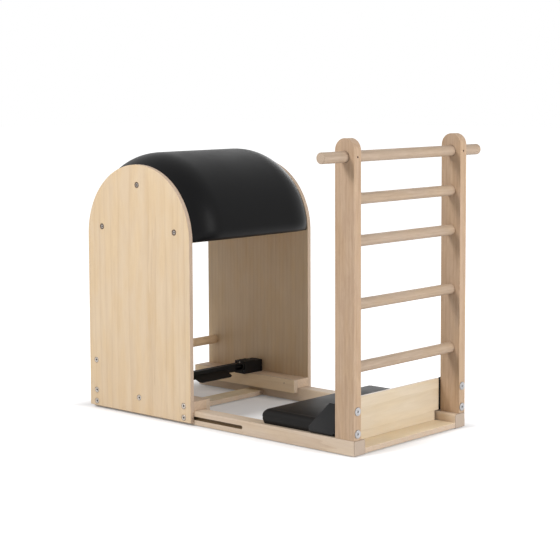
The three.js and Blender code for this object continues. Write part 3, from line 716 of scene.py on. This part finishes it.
def bolt(name, node, body, head, coats, axis, direction):
    """A bolt in the place of its CAD node, with its head at that node's end along the axis."""
    low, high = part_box(node)
    place = (low + high) / 2
    place[axis] = high[axis] if direction > 0 else low[axis]
    bm = bolt_shape(high[axis] - low[axis], **head)
    aim = Vector((0, 0, 0))
    aim[axis] = direction
    turn = aim.to_track_quat("Z", "Y").to_matrix().to_4x4()
    ops.transform(bm, matrix=Matrix.Translation(place) @ turn, verts=bm.verts)
    finish_piece(name, bm, body, [node], coats)


post_zinc = zinc("post bolt zinc", (178, 177, 178), 0.3, 0.42)
# The sockets take a darker zinc: painted shade in the hexagon recess.
post_socket_painted_shade = zinc("post bolt socket painted shade", (150, 149, 150), 0.4, 0.5)
for side, _ in SIDES:
    for level in ("lower", "upper"):
        bolt(f"{side}_{level}_post_bolt", f"post_bolt_{level}_{side}", "base", POST_HEAD,
             [post_zinc, post_socket_painted_shade, post_zinc], 0, 1)

# Foot cushion. Firm foam on a plywood board, under black vinyl that is seamed round the sides and
# stapled underneath. Cloth under pressure gives the cover its crown, and its sides draw in.

PAD_SHOULDER = 50 * MM
PAD_CROWN = 14 * MM
PAD_ROUND = 25 * MM
PAD_CORNER = 20 * MM
PAD_TUCK = 6 * MM
PAD_MARGIN = 1 * MM
PAD_UPRIGHT = 1 / 3
PAD_CAP = 5 * MM
PAD_HELD = 30 * MM
SEAM_HEIGHT = 21 * MM
SEAM_WIDTH = 2.2 * MM
SEAM_DEPTH = 1.3 * MM
NEAR_SIDE = 0.42
COVER_CRISP = radians(80)
PEBBLE = 1.1 * MM
CLOTH = {"quality": 5, "mass": 0.3, "tension_stiffness": 15, "compression_stiffness": 15,
         "bending_stiffness": 0.8, "use_pressure": True, "uniform_pressure_force": 4.0}
CLOTH_FRAMES = 20
EVENING = 40


def vinyl_skin():
    """The pebbled grain of upholstery vinyl: small rounded cells, with fine noise over them."""
    tree, given, result = group("Vinyl skin", {"Vector": "Vector"},
                                {"Height": "Float", "Tone": "Float"})
    warp = noise(given["Vector"], 260.0, detail=1.0)
    inputs = {"Vector": given["Vector"], "Scale": 1 / PEBBLE, "Smoothness": 0.6}
    cells = put("TexVoronoi", inputs, feature="SMOOTH_F1").outputs["Distance"]
    pebble = minus(1.0, cells)
    height = plus(pebble, times(warp, 0.25))
    feed(result, {"Height": height, "Tone": noise(given["Vector"], 6.0)})
    return tree


VINYL_SKIN = vinyl_skin()


def vinyl(name, light, dark, least, most, shine):
    material, place = new_material(name)
    skin = put("Group", {"Vector": place}, node_tree=VINYL_SKIN).outputs
    return coated(material, blended(skin["Tone"], linear(dark), linear(light)),
                  dulled(place, least, most, 160 * MM), skin["Height"], 0.12 * MM, 0.25, shine)


def gridded_cube(cuts):
    """A cube from -1 to 1, cut into a grid along each axis."""
    bm = bmesh.new()
    ops.create_cube(bm, size=2)
    for axis, count in enumerate(cuts):
        along = [e for e in bm.edges if span(e, axis) > 1.5]
        ops.subdivide_edges(bm, edges=along, cuts=count, use_grid_fill=True)
    return bm


def inflate(piece, free, cap):
    """Cloth under pressure swells the cover. free gives how far each point may follow, 0 to 1.
    The swelling is evened out over the neighbours, and no point rises further than the cap."""
    mesh = piece.data
    scene = bpy.context.scene
    held = piece.vertex_groups.new(name="held")
    for vert in mesh.vertices:
        held.add([vert.index], 1 - min(1, free(vert.co)), "REPLACE")
    cloth = piece.modifiers.new("Cover", "CLOTH")
    assign(cloth.settings, vertex_group_mass=held.name, **CLOTH)
    cloth.settings.effector_weights.gravity = 0
    assign(cloth.point_cache, frame_start=1, frame_end=CLOTH_FRAMES)
    for step in range(1, CLOTH_FRAMES + 1):
        scene.frame_set(step)
    swollen = piece.evaluated_get(bpy.context.evaluated_depsgraph_get()).to_mesh()
    outward = [v.normal.copy() for v in mesh.vertices]
    rise = [(new.co - old.co).dot(out)
            for new, old, out in zip(swollen.vertices, mesh.vertices, outward)]
    piece.modifiers.remove(cloth)
    scene.frame_set(1)
    near = [[] for _ in mesh.vertices]
    for edge in mesh.edges:
        one, other = edge.vertices
        near[one].append(other)
        near[other].append(one)
    for _ in range(EVENING):
        rise = [(up + sum(rise[n] for n in around) / len(around)) / 2
                for up, around in zip(rise, near)]
    for vert, out, up in zip(mesh.vertices, outward, rise):
        vert.co += out * max(0, min(cap, up)) * min(1, free(vert.co))
    piece.vertex_groups.remove(held)


def pad_side(share):
    """How high the cover stands and how far it draws in at a share of the way up its side."""
    upright = PAD_SHOULDER - PAD_ROUND
    if share < PAD_UPRIGHT:
        up = share / PAD_UPRIGHT
        return upright * up, PAD_TUCK * (1 - up) ** 2
    turn = (share - PAD_UPRIGHT) / (1 - PAD_UPRIGHT) * pi / 2
    return upright + PAD_ROUND * sin(turn), PAD_ROUND * (1 - cos(turn))


def round_corner(x, y, half_x, half_y, radius):
    beyond_x = abs(x) - (half_x - radius)
    beyond_y = abs(y) - (half_y - radius)
    if beyond_x <= 0 or beyond_y <= 0:
        return x, y
    pull = 1 - max(beyond_x, beyond_y) / hypot(beyond_x, beyond_y)
    return x - beyond_x * pull * (1 if x > 0 else -1), y - beyond_y * pull * (1 if y > 0 else -1)


coat_node("foot_pad_board", lying_birch)
pad_vinyl = vinyl("foot cushion vinyl", (24, 22, 21), (18, 17, 16), 0.4, 0.5, 0.13)
low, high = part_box("foot_pad_cushion")
centre = (low + high) / 2
bm = gridded_cube((46, 78, 17))
for vert in bm.verts:
    across, along = sin(vert.co.x * pi / 2), sin(vert.co.y * pi / 2)
    share = (vert.co.z + 1) / 2
    height, inset = pad_side(share)
    half_x = (high.x - low.x) / 2 - inset - PAD_MARGIN
    half_y = (high.y - low.y) / 2 - inset - PAD_MARGIN
    x, y = round_corner(across * half_x, along * half_y, half_x, half_y, PAD_CORNER - inset / 2)
    crown = PAD_CROWN * (1 - across ** 2) * (1 - along ** 4) * share
    vert.co = (centre.x + x, y, low.z + height + crown)
pad = finish_piece("vinyl_foot_cushion", bm, "base", ["foot_pad_cushion"], [pad_vinyl],
                   crisp=COVER_CRISP)
inflate(pad, lambda p: max(0, (p.z - low.z - PAD_HELD) / PAD_ROUND), PAD_CAP)
for vert in pad.data.vertices:
    off = (vert.co.z - low.z - SEAM_HEIGHT) / SEAM_WIDTH
    if abs(off) < 3 and vert.co.z < low.z + PAD_SHOULDER:
        out = Vector((vert.co.x - centre.x, vert.co.y, 0))
        if max(abs(out.x) / (high.x - low.x), abs(out.y) / (high.y - low.y)) > NEAR_SIDE:
            vert.co -= out.normalized() * SEAM_DEPTH * exp(-off * off)

# Side panels. Eighteen-millimetre birch plywood with a full round head, faced with straight-grained
# veneer. Each bolt's head lies in a counterbore, flush with the face.

PANEL_EASE = 1.6 * MM
PANEL_HEAD = {"radius": 9.6 * MM, "height": 3.5 * MM, "socket": 4.2 * MM, "dish": 1.2 * MM,
              "depth": 3.2 * MM}
HEAD_CLEARANCE = 1.8 * MM
GUIDE_PIN_RADIUS = 5 * MM
PANEL_BOLTS = ("arch_bolt_front", "arch_bolt_top", "arch_bolt_rear", "dowel_bolt",
               "guide_bolt_front", "guide_bolt_middle", "guide_bolt_rear", "guide_pin_front",
               "guide_pin_rear")
# The left panel, the far one, is a little darker than the right: partly its own veneer, partly
# painted shade for its inner face.
PANEL_FIGURES_AND_SHADE = {"left": ((224, 203, 173), (198, 172, 141), (-0.21, 0.0, 0.4)),
                 "right": ((231, 210, 180), (206, 180, 148), (0.33, 0.0, -0.35))}

panel_edge = ply_edge("panel edge", 1, light=(218, 196, 174), dark=(188, 160, 136))

for side, sign in SIDES:
    light, dark, shift = PANEL_FIGURES_AND_SHADE[side]
    panel_birch = wood(f"{side} panel birch", "Z", light, dark, streaks=0.8, bands=0.7,
                       flecks=0.12, warmth=0.4, band_width=30 * MM, arch_width=16 * MM, shift=shift)
    low, high, inner, outer = side_box(f"side_panel_{side}", sign)
    bm = box_shape(low, high)
    round_head(bm, low, high, 64)
    soften(bm, PANEL_EASE)
    floor = outer - sign * (PANEL_HEAD["height"] + FIT)
    wide = PANEL_HEAD["radius"] + HEAD_CLEARANCE
    mouths, backs = [], []
    for name in PANEL_BOLTS:
        place = middle(f"{name}_{side}")
        radius = (BOLT_RADIUS if "bolt" in name else GUIDE_PIN_RADIUS) + FIT
        rings = [ring(bm, (place.x, y, place.z), "Y", r, 40)
                 for y, r in ((outer, wide), (floor, wide), (floor, radius), (inner, radius))]
        join_rings(bm, rings)
        mouths.append(rings[0])
        backs.append(rings[-1])
    open_side(bm, (0, sign, 0), mouths)
    open_side(bm, (0, -sign, 0), backs)
    finish_piece(f"{side}_panel", bm, "carriage", [f"side_panel_{side}"],
                 [panel_birch, panel_edge], thickness=1)

# Panel bolts. Smaller flush bolts of the same kind hold the barrel's ribs, the stretcher and the
# guide blocks. The lowest two on each side reach into the rails' slots as guide pins.

ARCH_HEAD = {**PANEL_HEAD, "socket": 3.4 * MM}

bolt_steel = zinc("panel bolt steel", (190, 182, 174), 0.26, 0.38)
# The panel bolts' sockets are near-black: painted shade in the hexagon recess.
socket_painted_shade = zinc("socket painted shade", (74, 68, 64), 0.5, 0.62)
# The arch bolts' rims and sides are dark brown steel: painted shade, for the dark ring of the gap
# round each head.
arch_rim_painted_shade = zinc("arch bolt rim painted shade", (122, 108, 98), 0.4, 0.5)
arch_dish = zinc("arch bolt dish", (184, 176, 168), 0.3, 0.4)
for side, sign in SIDES:
    for name in PANEL_BOLTS:
        head, coats = PANEL_HEAD, [bolt_steel, socket_painted_shade, bolt_steel]
        if name.startswith("arch"):
            head, coats = ARCH_HEAD, [arch_rim_painted_shade, socket_painted_shade, arch_dish]
        bolt(f"{side}_{name}", f"{name}_{side}", "carriage", head, coats, 1, sign)

# Guide blocks and planks. A beech block rides on each rail and a plywood plank hugs the rail's
# inner face, so that the carriage slides straight. Two screws hold each plank.

SCREW_RADIUS = 2.5 * MM
SCREW_DEPTH = 3 * MM
SCREW_INSET = 53 * MM

block_beech = wood("block beech", "X", (226, 204, 181), (196, 170, 147), bands=0.8, flecks=0.25,
                   shift=(0.3, 0.1, 0.2))
# The planks' birch is paler than the other birch: painted light on faces that lie in the carriage's
# shade.
plank_painted_light = wood("plank birch painted light", "X", (250, 229, 198), (230, 204, 170), streaks=0.5, bands=0.8,
                   flecks=0.06, band_width=18 * MM)
plank_edge = ply_edge("plank edge", 1, light=(220, 200, 178), dark=(186, 158, 130))
screw_brown = wood("screw plug", "X", (132, 88, 58), (98, 62, 40))
for side, sign in SIDES:
    block_low, block_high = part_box(f"guide_block_{side}")
    bm = box_shape(block_low, block_high)
    soften(bm)
    finish_piece(f"{side}_guide_block", bm, "carriage", [f"guide_block_{side}"], [block_beech])
    low, high, inner, _ = side_box(f"guide_plank_{side}", sign)
    bm = box_shape(low, high)
    soften(bm)
    level = high.z - (block_high.z - block_low.z) / 2
    screws = [drill(bm, (x, 0, level), "Y", (inner, inner + sign * SCREW_DEPTH), SCREW_RADIUS, 20,
                    coat=2)[0] for x in (low.x + SCREW_INSET, high.x - SCREW_INSET)]
    open_side(bm, (0, -sign, 0), screws)
    finish_piece(f"{side}_guide_plank", bm, "carriage", [f"guide_plank_{side}"],
                 [plank_painted_light, plank_edge, screw_brown], thickness=1)

# Stretcher. A turned beech rod, low at the back, that keeps the two panels the same distance apart.
# A bolt through each panel is screwed into its end.

# The stretcher's beech is paler than the other beech: painted light on a rod that lies in shade
# under the barrel.
stretcher_painted_light = wood("stretcher beech painted light", "Y", (232, 206, 172), (208, 178, 144),
                       band_width=12 * MM)
rod("beech_stretcher", "stretcher_dowel", "carriage", [stretcher_painted_light, rod_end])

# Barrel shell and ribs. Thin birch plies bent to a half-round over a plywood rib at each end. The
# ribs keep the shape that the frame gives them, and show only from below.

SHELL_THICKNESS = 9 * MM
SHELL_STEPS = 72

rib_birch = wood("rib birch", "X", (212, 188, 156), (188, 160, 126), bands=0.8, flecks=0.06)
shell_birch = wood("shell birch", "Y", (222, 200, 168), (198, 170, 136), bands=0.9, flecks=0.06)
shell_edge = ply_edge("shell edge", 0)
for side, _ in SIDES:
    coat_node(f"barrel_rib_{side}", rib_birch)
low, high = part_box("barrel_shell")
shell_radius = (high.x - low.x) / 2
arch = Vector(((low.x + high.x) / 2, 0, high.z - shell_radius))
bm = bmesh.new()
ops.create_grid(bm, x_segments=1, y_segments=1, size=0.5)
for vert in bm.verts:
    wall = shell_radius - (SHELL_THICKNESS if vert.co.x < 0 else 0)
    vert.co = (arch.x + wall, low.y if vert.co.y < 0 else high.y, low.z)
made = ops.extrude_face_region(bm, geom=list(bm.faces))
push(bm, made, (0, 0, arch.z - low.z))
top = only(bmesh.types.BMFace, made["geom"])
spun = ops.spin(bm, geom=top, cent=arch, axis=(0, -1, 0), angle=pi, steps=SHELL_STEPS,
                use_merge=False)
last = only(bmesh.types.BMFace, spun["geom_last"])
ops.delete(bm, geom=top, context="FACES_ONLY")
push(bm, ops.extrude_face_region(bm, geom=last), (0, 0, low.z - arch.z))
ops.delete(bm, geom=last, context="FACES_ONLY")
for face in bm.faces:
    at_foot = face.normal.z < -0.9 and face.calc_center_median().z < low.z + MM
    face.material_index = 1 if at_foot else 0
finish_piece("bent_ply_shell", bm, "carriage", ["barrel_shell"], [shell_birch, shell_edge])

# Barrel upholstery. Thick foam under one sheet of black vinyl, drawn down to the panels at both
# ends and rolled in along the two lower edges. Cloth under pressure gives the cover its tension.

BARREL_SHOULDER = 125 * MM
BARREL_FULLNESS = 2.5
BARREL_CROWN = 43 * MM
BARREL_SKIRT = 1 * MM
BARREL_EDGE_INSET = 2 * MM
BARREL_ROLL = 34 * MM
BARREL_BLUNT = 0.4
BARREL_CAP = 3 * MM
SHELL_HOLDS = 8 * MM
SHELL_EASES = 20 * MM
PANEL_EASES = 40 * MM
EDGE_EASES = 60 * MM

barrel_vinyl = vinyl("barrel vinyl", (17, 17, 18), (12, 12, 13), 0.35, 0.43, 0.1)
low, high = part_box("barrel_cushion")
panel_low, panel_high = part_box("side_panel_left")
inner_radius = shell_radius + FIT
edge_radius = (panel_high.x - panel_low.x) / 2 - BARREL_EDGE_INSET
quarter = pi / 2 + asin(BARREL_SKIRT / edge_radius)
bm = gridded_cube((118, 96, 3))
for vert in bm.verts:
    y = high.y * sin(vert.co.y * pi / 2)
    bend = (vert.co.x + sin(vert.co.x * pi / 2)) / 2
    from_panel = min(1, (high.y - abs(y)) / BARREL_SHOULDER)
    crown = BARREL_CROWN * (1 - (1 - from_panel) ** BARREL_FULLNESS)
    angle = pi / 2 - bend * quarter
    to_edge = quarter * (1 - abs(bend)) * inner_radius
    roll = sqrt(1 - (1 - min(1, to_edge / BARREL_ROLL)) ** 2)
    foam = (edge_radius + crown - inner_radius) * (BARREL_BLUNT + (1 - BARREL_BLUNT) * roll)
    r = inner_radius + foam * (vert.co.z + 1) / 2
    vert.co = (arch.x + r * cos(angle), y, arch.z + r * sin(angle))


def barrel_free(point):
    """The cover is free out over the foam, and held at the panels and round its lower edges."""
    out = hypot(point.x - arch.x, point.z - arch.z)
    off_shell = max(0, min(1, (out - inner_radius - SHELL_HOLDS) / SHELL_EASES))
    off_panel = max(0, min(1, (high.y - abs(point.y)) / PANEL_EASES))
    off_edge = max(0, min(1, (point.z - arch.z) / EDGE_EASES))
    return off_shell * off_panel * off_edge


barrel = finish_piece("vinyl_barrel_cover", bm, "carriage", ["barrel_cushion"], [barrel_vinyl],
                      crisp=COVER_CRISP)
inflate(barrel, barrel_free, BARREL_CAP)

# Brake housings. Folded black steel boxes on the guide blocks, a little lower at their outer end.
# The pedal's axle and prongs reach in through the mouth in each inner wall, and the plunger's pin
# stands up through the roof.

HOUSING_WALL = 3 * MM
HOUSING_EDGE = 2 * MM
HOUSING_STEP = 3 * MM
STEP_FROM_PLUNGER = 9 * MM
MOUTH_HEIGHT = 28 * MM
MOUTH_WIDTH = 40 * MM
PLUNGER_HOLE = 5.3 * MM
AXLE_HOLE = 6.3 * MM

brake_black = black_steel("brake black", (20, 18, 17), (13, 12, 11), 0.5, 0.62, shine=0.14)
pedal_joint = next(j for j in frame["joints"] if j["name"] == "pedal_press")
axis_x, axis_z = pedal_joint["pos_m"][0], pedal_joint["pos_m"][2]
for side, sign in SIDES:
    low, high, inner, outer = side_box(f"lock_housing_{side}", sign)
    plunger = middle(f"lock_plunger_{side}")
    step = plunger.y - sign * STEP_FROM_PLUNGER
    shoulder = high.z - HOUSING_STEP
    profile = ((inner, low.z), (outer, low.z), (outer, shoulder), (step, shoulder),
               (step, high.z), (inner, high.z))
    bm = bmesh.new()
    end_wall = bm.faces.new([bm.verts.new((low.x, y, z)) for y, z in profile])
    push(bm, ops.extrude_face_region(bm, geom=[end_wall]), (high.x - low.x, 0, 0))
    ops.recalc_face_normals(bm, faces=bm.faces)
    bevel(bm, list(bm.edges), HOUSING_EDGE)
    reach = MOUTH_WIDTH - MOUTH_HEIGHT
    mouth = ((axis_x + plunger.x) / 2 - reach / 2, inner, axis_z)
    stretch = Vector((reach, 0, 0))
    open_side(bm, (0, -sign, 0), [ring(bm, mouth, "Y", MOUTH_HEIGHT / 2, 32, stretch)])
    open_side(bm, (0, sign, 0), [ring(bm, (axis_x, outer, axis_z), "Y", AXLE_HOLE, 24)])
    open_side(bm, (0, 0, -1), [ring(bm, (plunger.x, plunger.y, low.z), "Z", PLUNGER_HOLE, 24)])
    roof = min((f for f in bm.faces if f.normal.z > 0.999 and f.calc_area() > PLUNGER_HOLE ** 2),
               key=lambda f: f.calc_center_median().z)
    open_face(bm, roof, [ring(bm, (plunger.x, plunger.y, shoulder), "Z", PLUNGER_HOLE, 24)])
    piece = finish_piece(f"{side}_brake_housing", bm, "carriage", [f"lock_housing_{side}"],
                         [brake_black])
    assign(piece.modifiers.new("Wall", "SOLIDIFY"), thickness=HOUSING_WALL, offset=-1)

# Pedal. A square steel tube across the carriage, with a window near each end and a sloping tread
# in its middle. It turns on an axle between the housings, which carries the prongs that lift the
# plungers' collars. A set screw and a pin at each end lock tube and axle.

BAR = 30 * MM
BAR_WALL = 3 * MM
BAR_EDGE = 3 * MM
BAR_EASE = 1 * MM
BAR_TO_HOUSING = 3.5 * MM
WINDOW_FROM_END = 6 * MM
WINDOW_LENGTH = 46 * MM
WINDOW_RADIUS = 11 * MM
AXLE_RADIUS = 6 * MM
TREAD_WIDTH = 176 * MM
TREAD_REACH = 50 * MM
TREAD_STEEL = 5 * MM
TREAD_SLOPE = asin(24 / 65)
TREAD_CORNER = 15 * MM
PRONG = 5 * MM
PRONG_GAP = 5.3 * MM
PRONG_REACH = 24 * MM
NOSE_RADIUS = 3 * MM
NOSE_DROP = 2 * MM
LOCK_EASE = 0.8 * MM

housing_low, housing_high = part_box("lock_housing_left")
bar_end = housing_low.y - BAR_TO_HOUSING
reach = Vector((BAR / 2, bar_end, BAR / 2))
axle = Vector((axis_x, 0, axis_z))
bm = box_shape(axle - reach, axle + reach)
bevel(bm, [e for e in bm.edges if span(e, 1) > bar_end], BAR_EDGE, 4)
soften(bm, BAR_EASE)
hollow = reach - Vector((BAR_WALL, BAR_WALL, BAR_WALL))
box_shape(axle - hollow, axle + hollow, bm)
levels = (axis_x + BAR / 2, axis_x + BAR / 2 - BAR_WALL)
windows = []
for sign in (1, -1):
    start = sign * (bar_end - WINDOW_FROM_END - WINDOW_RADIUS)
    stretch = Vector((0, -sign * (WINDOW_LENGTH - 2 * WINDOW_RADIUS), 0))
    windows.append(drill(bm, (0, start, axis_z), "X", levels, WINDOW_RADIUS, 32, stretch,
                         blind=False))
for rings in zip(*windows):
    open_side(bm, (1, 0, 0), rings)
finish_piece("pedal_tube", bm, "pedal", ["pedal_bar"], [brake_black])

half = Vector((0, TREAD_WIDTH / 2, TREAD_STEEL / 2))
bm = box_shape(-half, Vector((TREAD_REACH, 0, 0)) + half)
corners = [e for e in bm.edges
           if all(v.co.x > TREAD_REACH / 2 for v in e.verts) and span(e, 2) > MM]
bevel(bm, corners, TREAD_CORNER, 8)
soften(bm)
foot = Matrix.Translation((axis_x + BAR / 2 - SAWN_EDGE, 0, axis_z))
ops.transform(bm, matrix=foot @ Matrix.Rotation(TREAD_SLOPE, 4, "Y"), verts=bm.verts)
finish_piece("pedal_tread", bm, "pedal", [], [brake_black])

bm = cylinder(AXLE_RADIUS, 2 * (housing_high.y - HOUSING_EDGE), 32, axle, "Y")
finish_piece("pedal_axle", bm, "pedal", [], [brake_black])

half = Vector((0, PRONG / 2, 0))
nose_z = axis_z - NOSE_DROP
for side, _ in SIDES:
    plunger = middle(f"lock_plunger_{side}")
    for flank, word in ((-1, "inner"), (1, "outer")):
        y = plunger.y + flank * (PRONG_GAP + PRONG / 2)
        tip = Vector((axis_x - PRONG_REACH - NOSE_RADIUS, y, nose_z - NOSE_RADIUS))
        bm = box_shape(tip - half, Vector((axis_x, y, nose_z + NOSE_RADIUS)) + half)
        nose = [e for e in bm.edges
                if all(v.co.x < axis_x - PRONG_REACH for v in e.verts) and span(e, 1) > MM]
        bevel(bm, nose, NOSE_RADIUS * 0.99, 6)
        finish_piece(f"{side}_{word}_prong", bm, "pedal", [], [brake_black])

# Each lock's way ahead of the axle and in from the tube's end, its radius, height, coat and slot.
TUBE_LOCKS = {"set_screw": (-10 * MM, 19 * MM, 4 * MM, 6 * MM, brake_black, "black_steel"),
              "lock_pin": (2 * MM, 12 * MM, 2.5 * MM, 5 * MM, bolt_steel, "zinc")}

for side, sign in SIDES:
    for name, (ahead, inward, radius, tall, coat, slot) in TUBE_LOCKS.items():
        top = axis_z + BAR / 2 + tall / 2 - SAWN_EDGE
        bm = cylinder(radius, tall, 24, (axis_x + ahead, sign * (bar_end - inward), top))
        soften(bm, LOCK_EASE)
        finish_piece(f"{side}_{name}", bm, "pedal", [], [coat])

# Brake plungers and springs. Plated pins with a rubber-shod foot and a collar, each pressed down
# on its rail by a coil spring. Both keep the shape that the frame gives them, and the spring is
# tied to no body.

for side, _ in SIDES:
    coat_node(f"lock_plunger_{side}", bolt_steel)
    low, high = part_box(f"lock_spring_{side}")
    bm = bmesh.new()
    bm.from_mesh(frame["nodes"][f"lock_spring_{side}"].data)
    spring = finish_piece(f"{side}_brake_spring", bm, None, [f"lock_spring_{side}"], [bolt_steel])
    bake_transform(spring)

# Studio. A pale floor that glows out to white past the base, a soft light high up beside the near
# panel, a taller one past the ladder, a faint narrow one behind the barrel for its rim, an even
# white room, and the camera off the ladder's near corner.

CAMERA_PLACE = (3.88845, -4.26038, 1.22837)
CAMERA_YAW = 41.983
CAMERA_PITCH = 5.157
CAMERA_ROLL = -0.22
CAMERA_LENS = 102.07
CAMERA_SHIFT = -0.10
SENSOR_WIDTH = 36
WHITE = (1, 1, 1, 1)
ROOM_LIGHT = 0.42
FLOOR_SIZE = 30
FLOOR_TONE = (0.86, 0.86, 0.87, 1)
GLOW_FROM = -20 * MM
GLOW_TO = 130 * MM
GLOW_LEAST = 0.1
GLOW_MOST = 0.8

scene = bpy.context.scene
yaw = Matrix.Rotation(radians(CAMERA_YAW), 3, "Z")
pitch = Matrix.Rotation(radians(90 - CAMERA_PITCH), 3, "X")
turn = (yaw @ pitch @ Matrix.Rotation(radians(CAMERA_ROLL), 3, "Z")).to_euler()
lens = assign(bpy.data.cameras.new("camera"), lens=CAMERA_LENS, sensor_width=SENSOR_WIDTH,
              shift_y=CAMERA_SHIFT)
camera = assign(bpy.data.objects.new("camera", lens), location=CAMERA_PLACE, rotation_euler=turn)
scene.collection.objects.link(camera)
scene.camera = camera


def softbox(name, place, aim, width, height, power, spread=180):
    light = assign(bpy.data.lights.new(name, "AREA"), shape="RECTANGLE", size=width,
                   size_y=height, energy=power, spread=radians(spread))
    turn = (Vector(aim) - Vector(place)).to_track_quat("-Z", "Y").to_euler()
    lamp = assign(bpy.data.objects.new(name, light), location=place, rotation_euler=turn)
    scene.collection.objects.link(lamp)


def seen_by(tree, *rays):
    """One for these kinds of ray, and nought for all other light."""
    path = put("LightPath", {}, tree).outputs
    seen = 0.0
    for ray in rays:
        seen = calc("MAXIMUM", seen, path[ray])
    return seen


softbox("key softbox", (-0.45, -3.5, 2.7), (0, 0, 0.5), 0.9, 0.9, 85)
softbox("side softbox", (3.6, 0.5, 1.5), (0.2, 0, 0.4), 1.0, 2.0, 69)
softbox("rim softbox", (-1.6, 2.7, 1.5), (-0.45, 0.1, 0.85), 1.2, 1.4, 0.735, spread=40)

world = bpy.data.worlds.new("studio")
scene.world = world
world.use_nodes = True
tree = world.node_tree
seen = seen_by(tree, "Is Camera Ray", "Is Glossy Ray", "Is Transmission Ray")
strength = remap(seen, 0.0, 1.0, ROOM_LIGHT, 1.0)
feed(tree.nodes["Background"], {"Color": WHITE, "Strength": strength})

bm = bmesh.new()
ops.create_grid(bm, x_segments=1, y_segments=1, size=FLOOR_SIZE)
floor_piece = new_object("studio_floor", bm)
paper = bpy.data.materials.new("floor paper")
paper.use_nodes = True
tree = paper.node_tree
tree.nodes.clear()
diffuse = put("BsdfDiffuse", {"Color": FLOOR_TONE}, tree).outputs[0]
place = put("TexCoord", {}, tree).outputs["Object"]
spot = put("SeparateXYZ", {0: place}).outputs
past_end = minus(calc("ABSOLUTE", spot[0]), cad_high.x)
past_side = minus(calc("ABSOLUTE", spot[1]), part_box("rail_left")[1].y)
past = calc("MAXIMUM", past_end, past_side)
level = remap(past, GLOW_FROM, GLOW_TO, GLOW_LEAST, GLOW_MOST)
strength = times(seen_by(tree, "Is Camera Ray", "Is Glossy Ray"), level)
glow = put("Emission", {"Color": WHITE, "Strength": strength}).outputs[0]
mixed = put("AddShader", {0: diffuse, 1: glow}).outputs[0]
put("OutputMaterial", {"Surface": mixed})
floor_piece.data.materials.append(paper)

scene.view_settings.view_transform = "Standard"
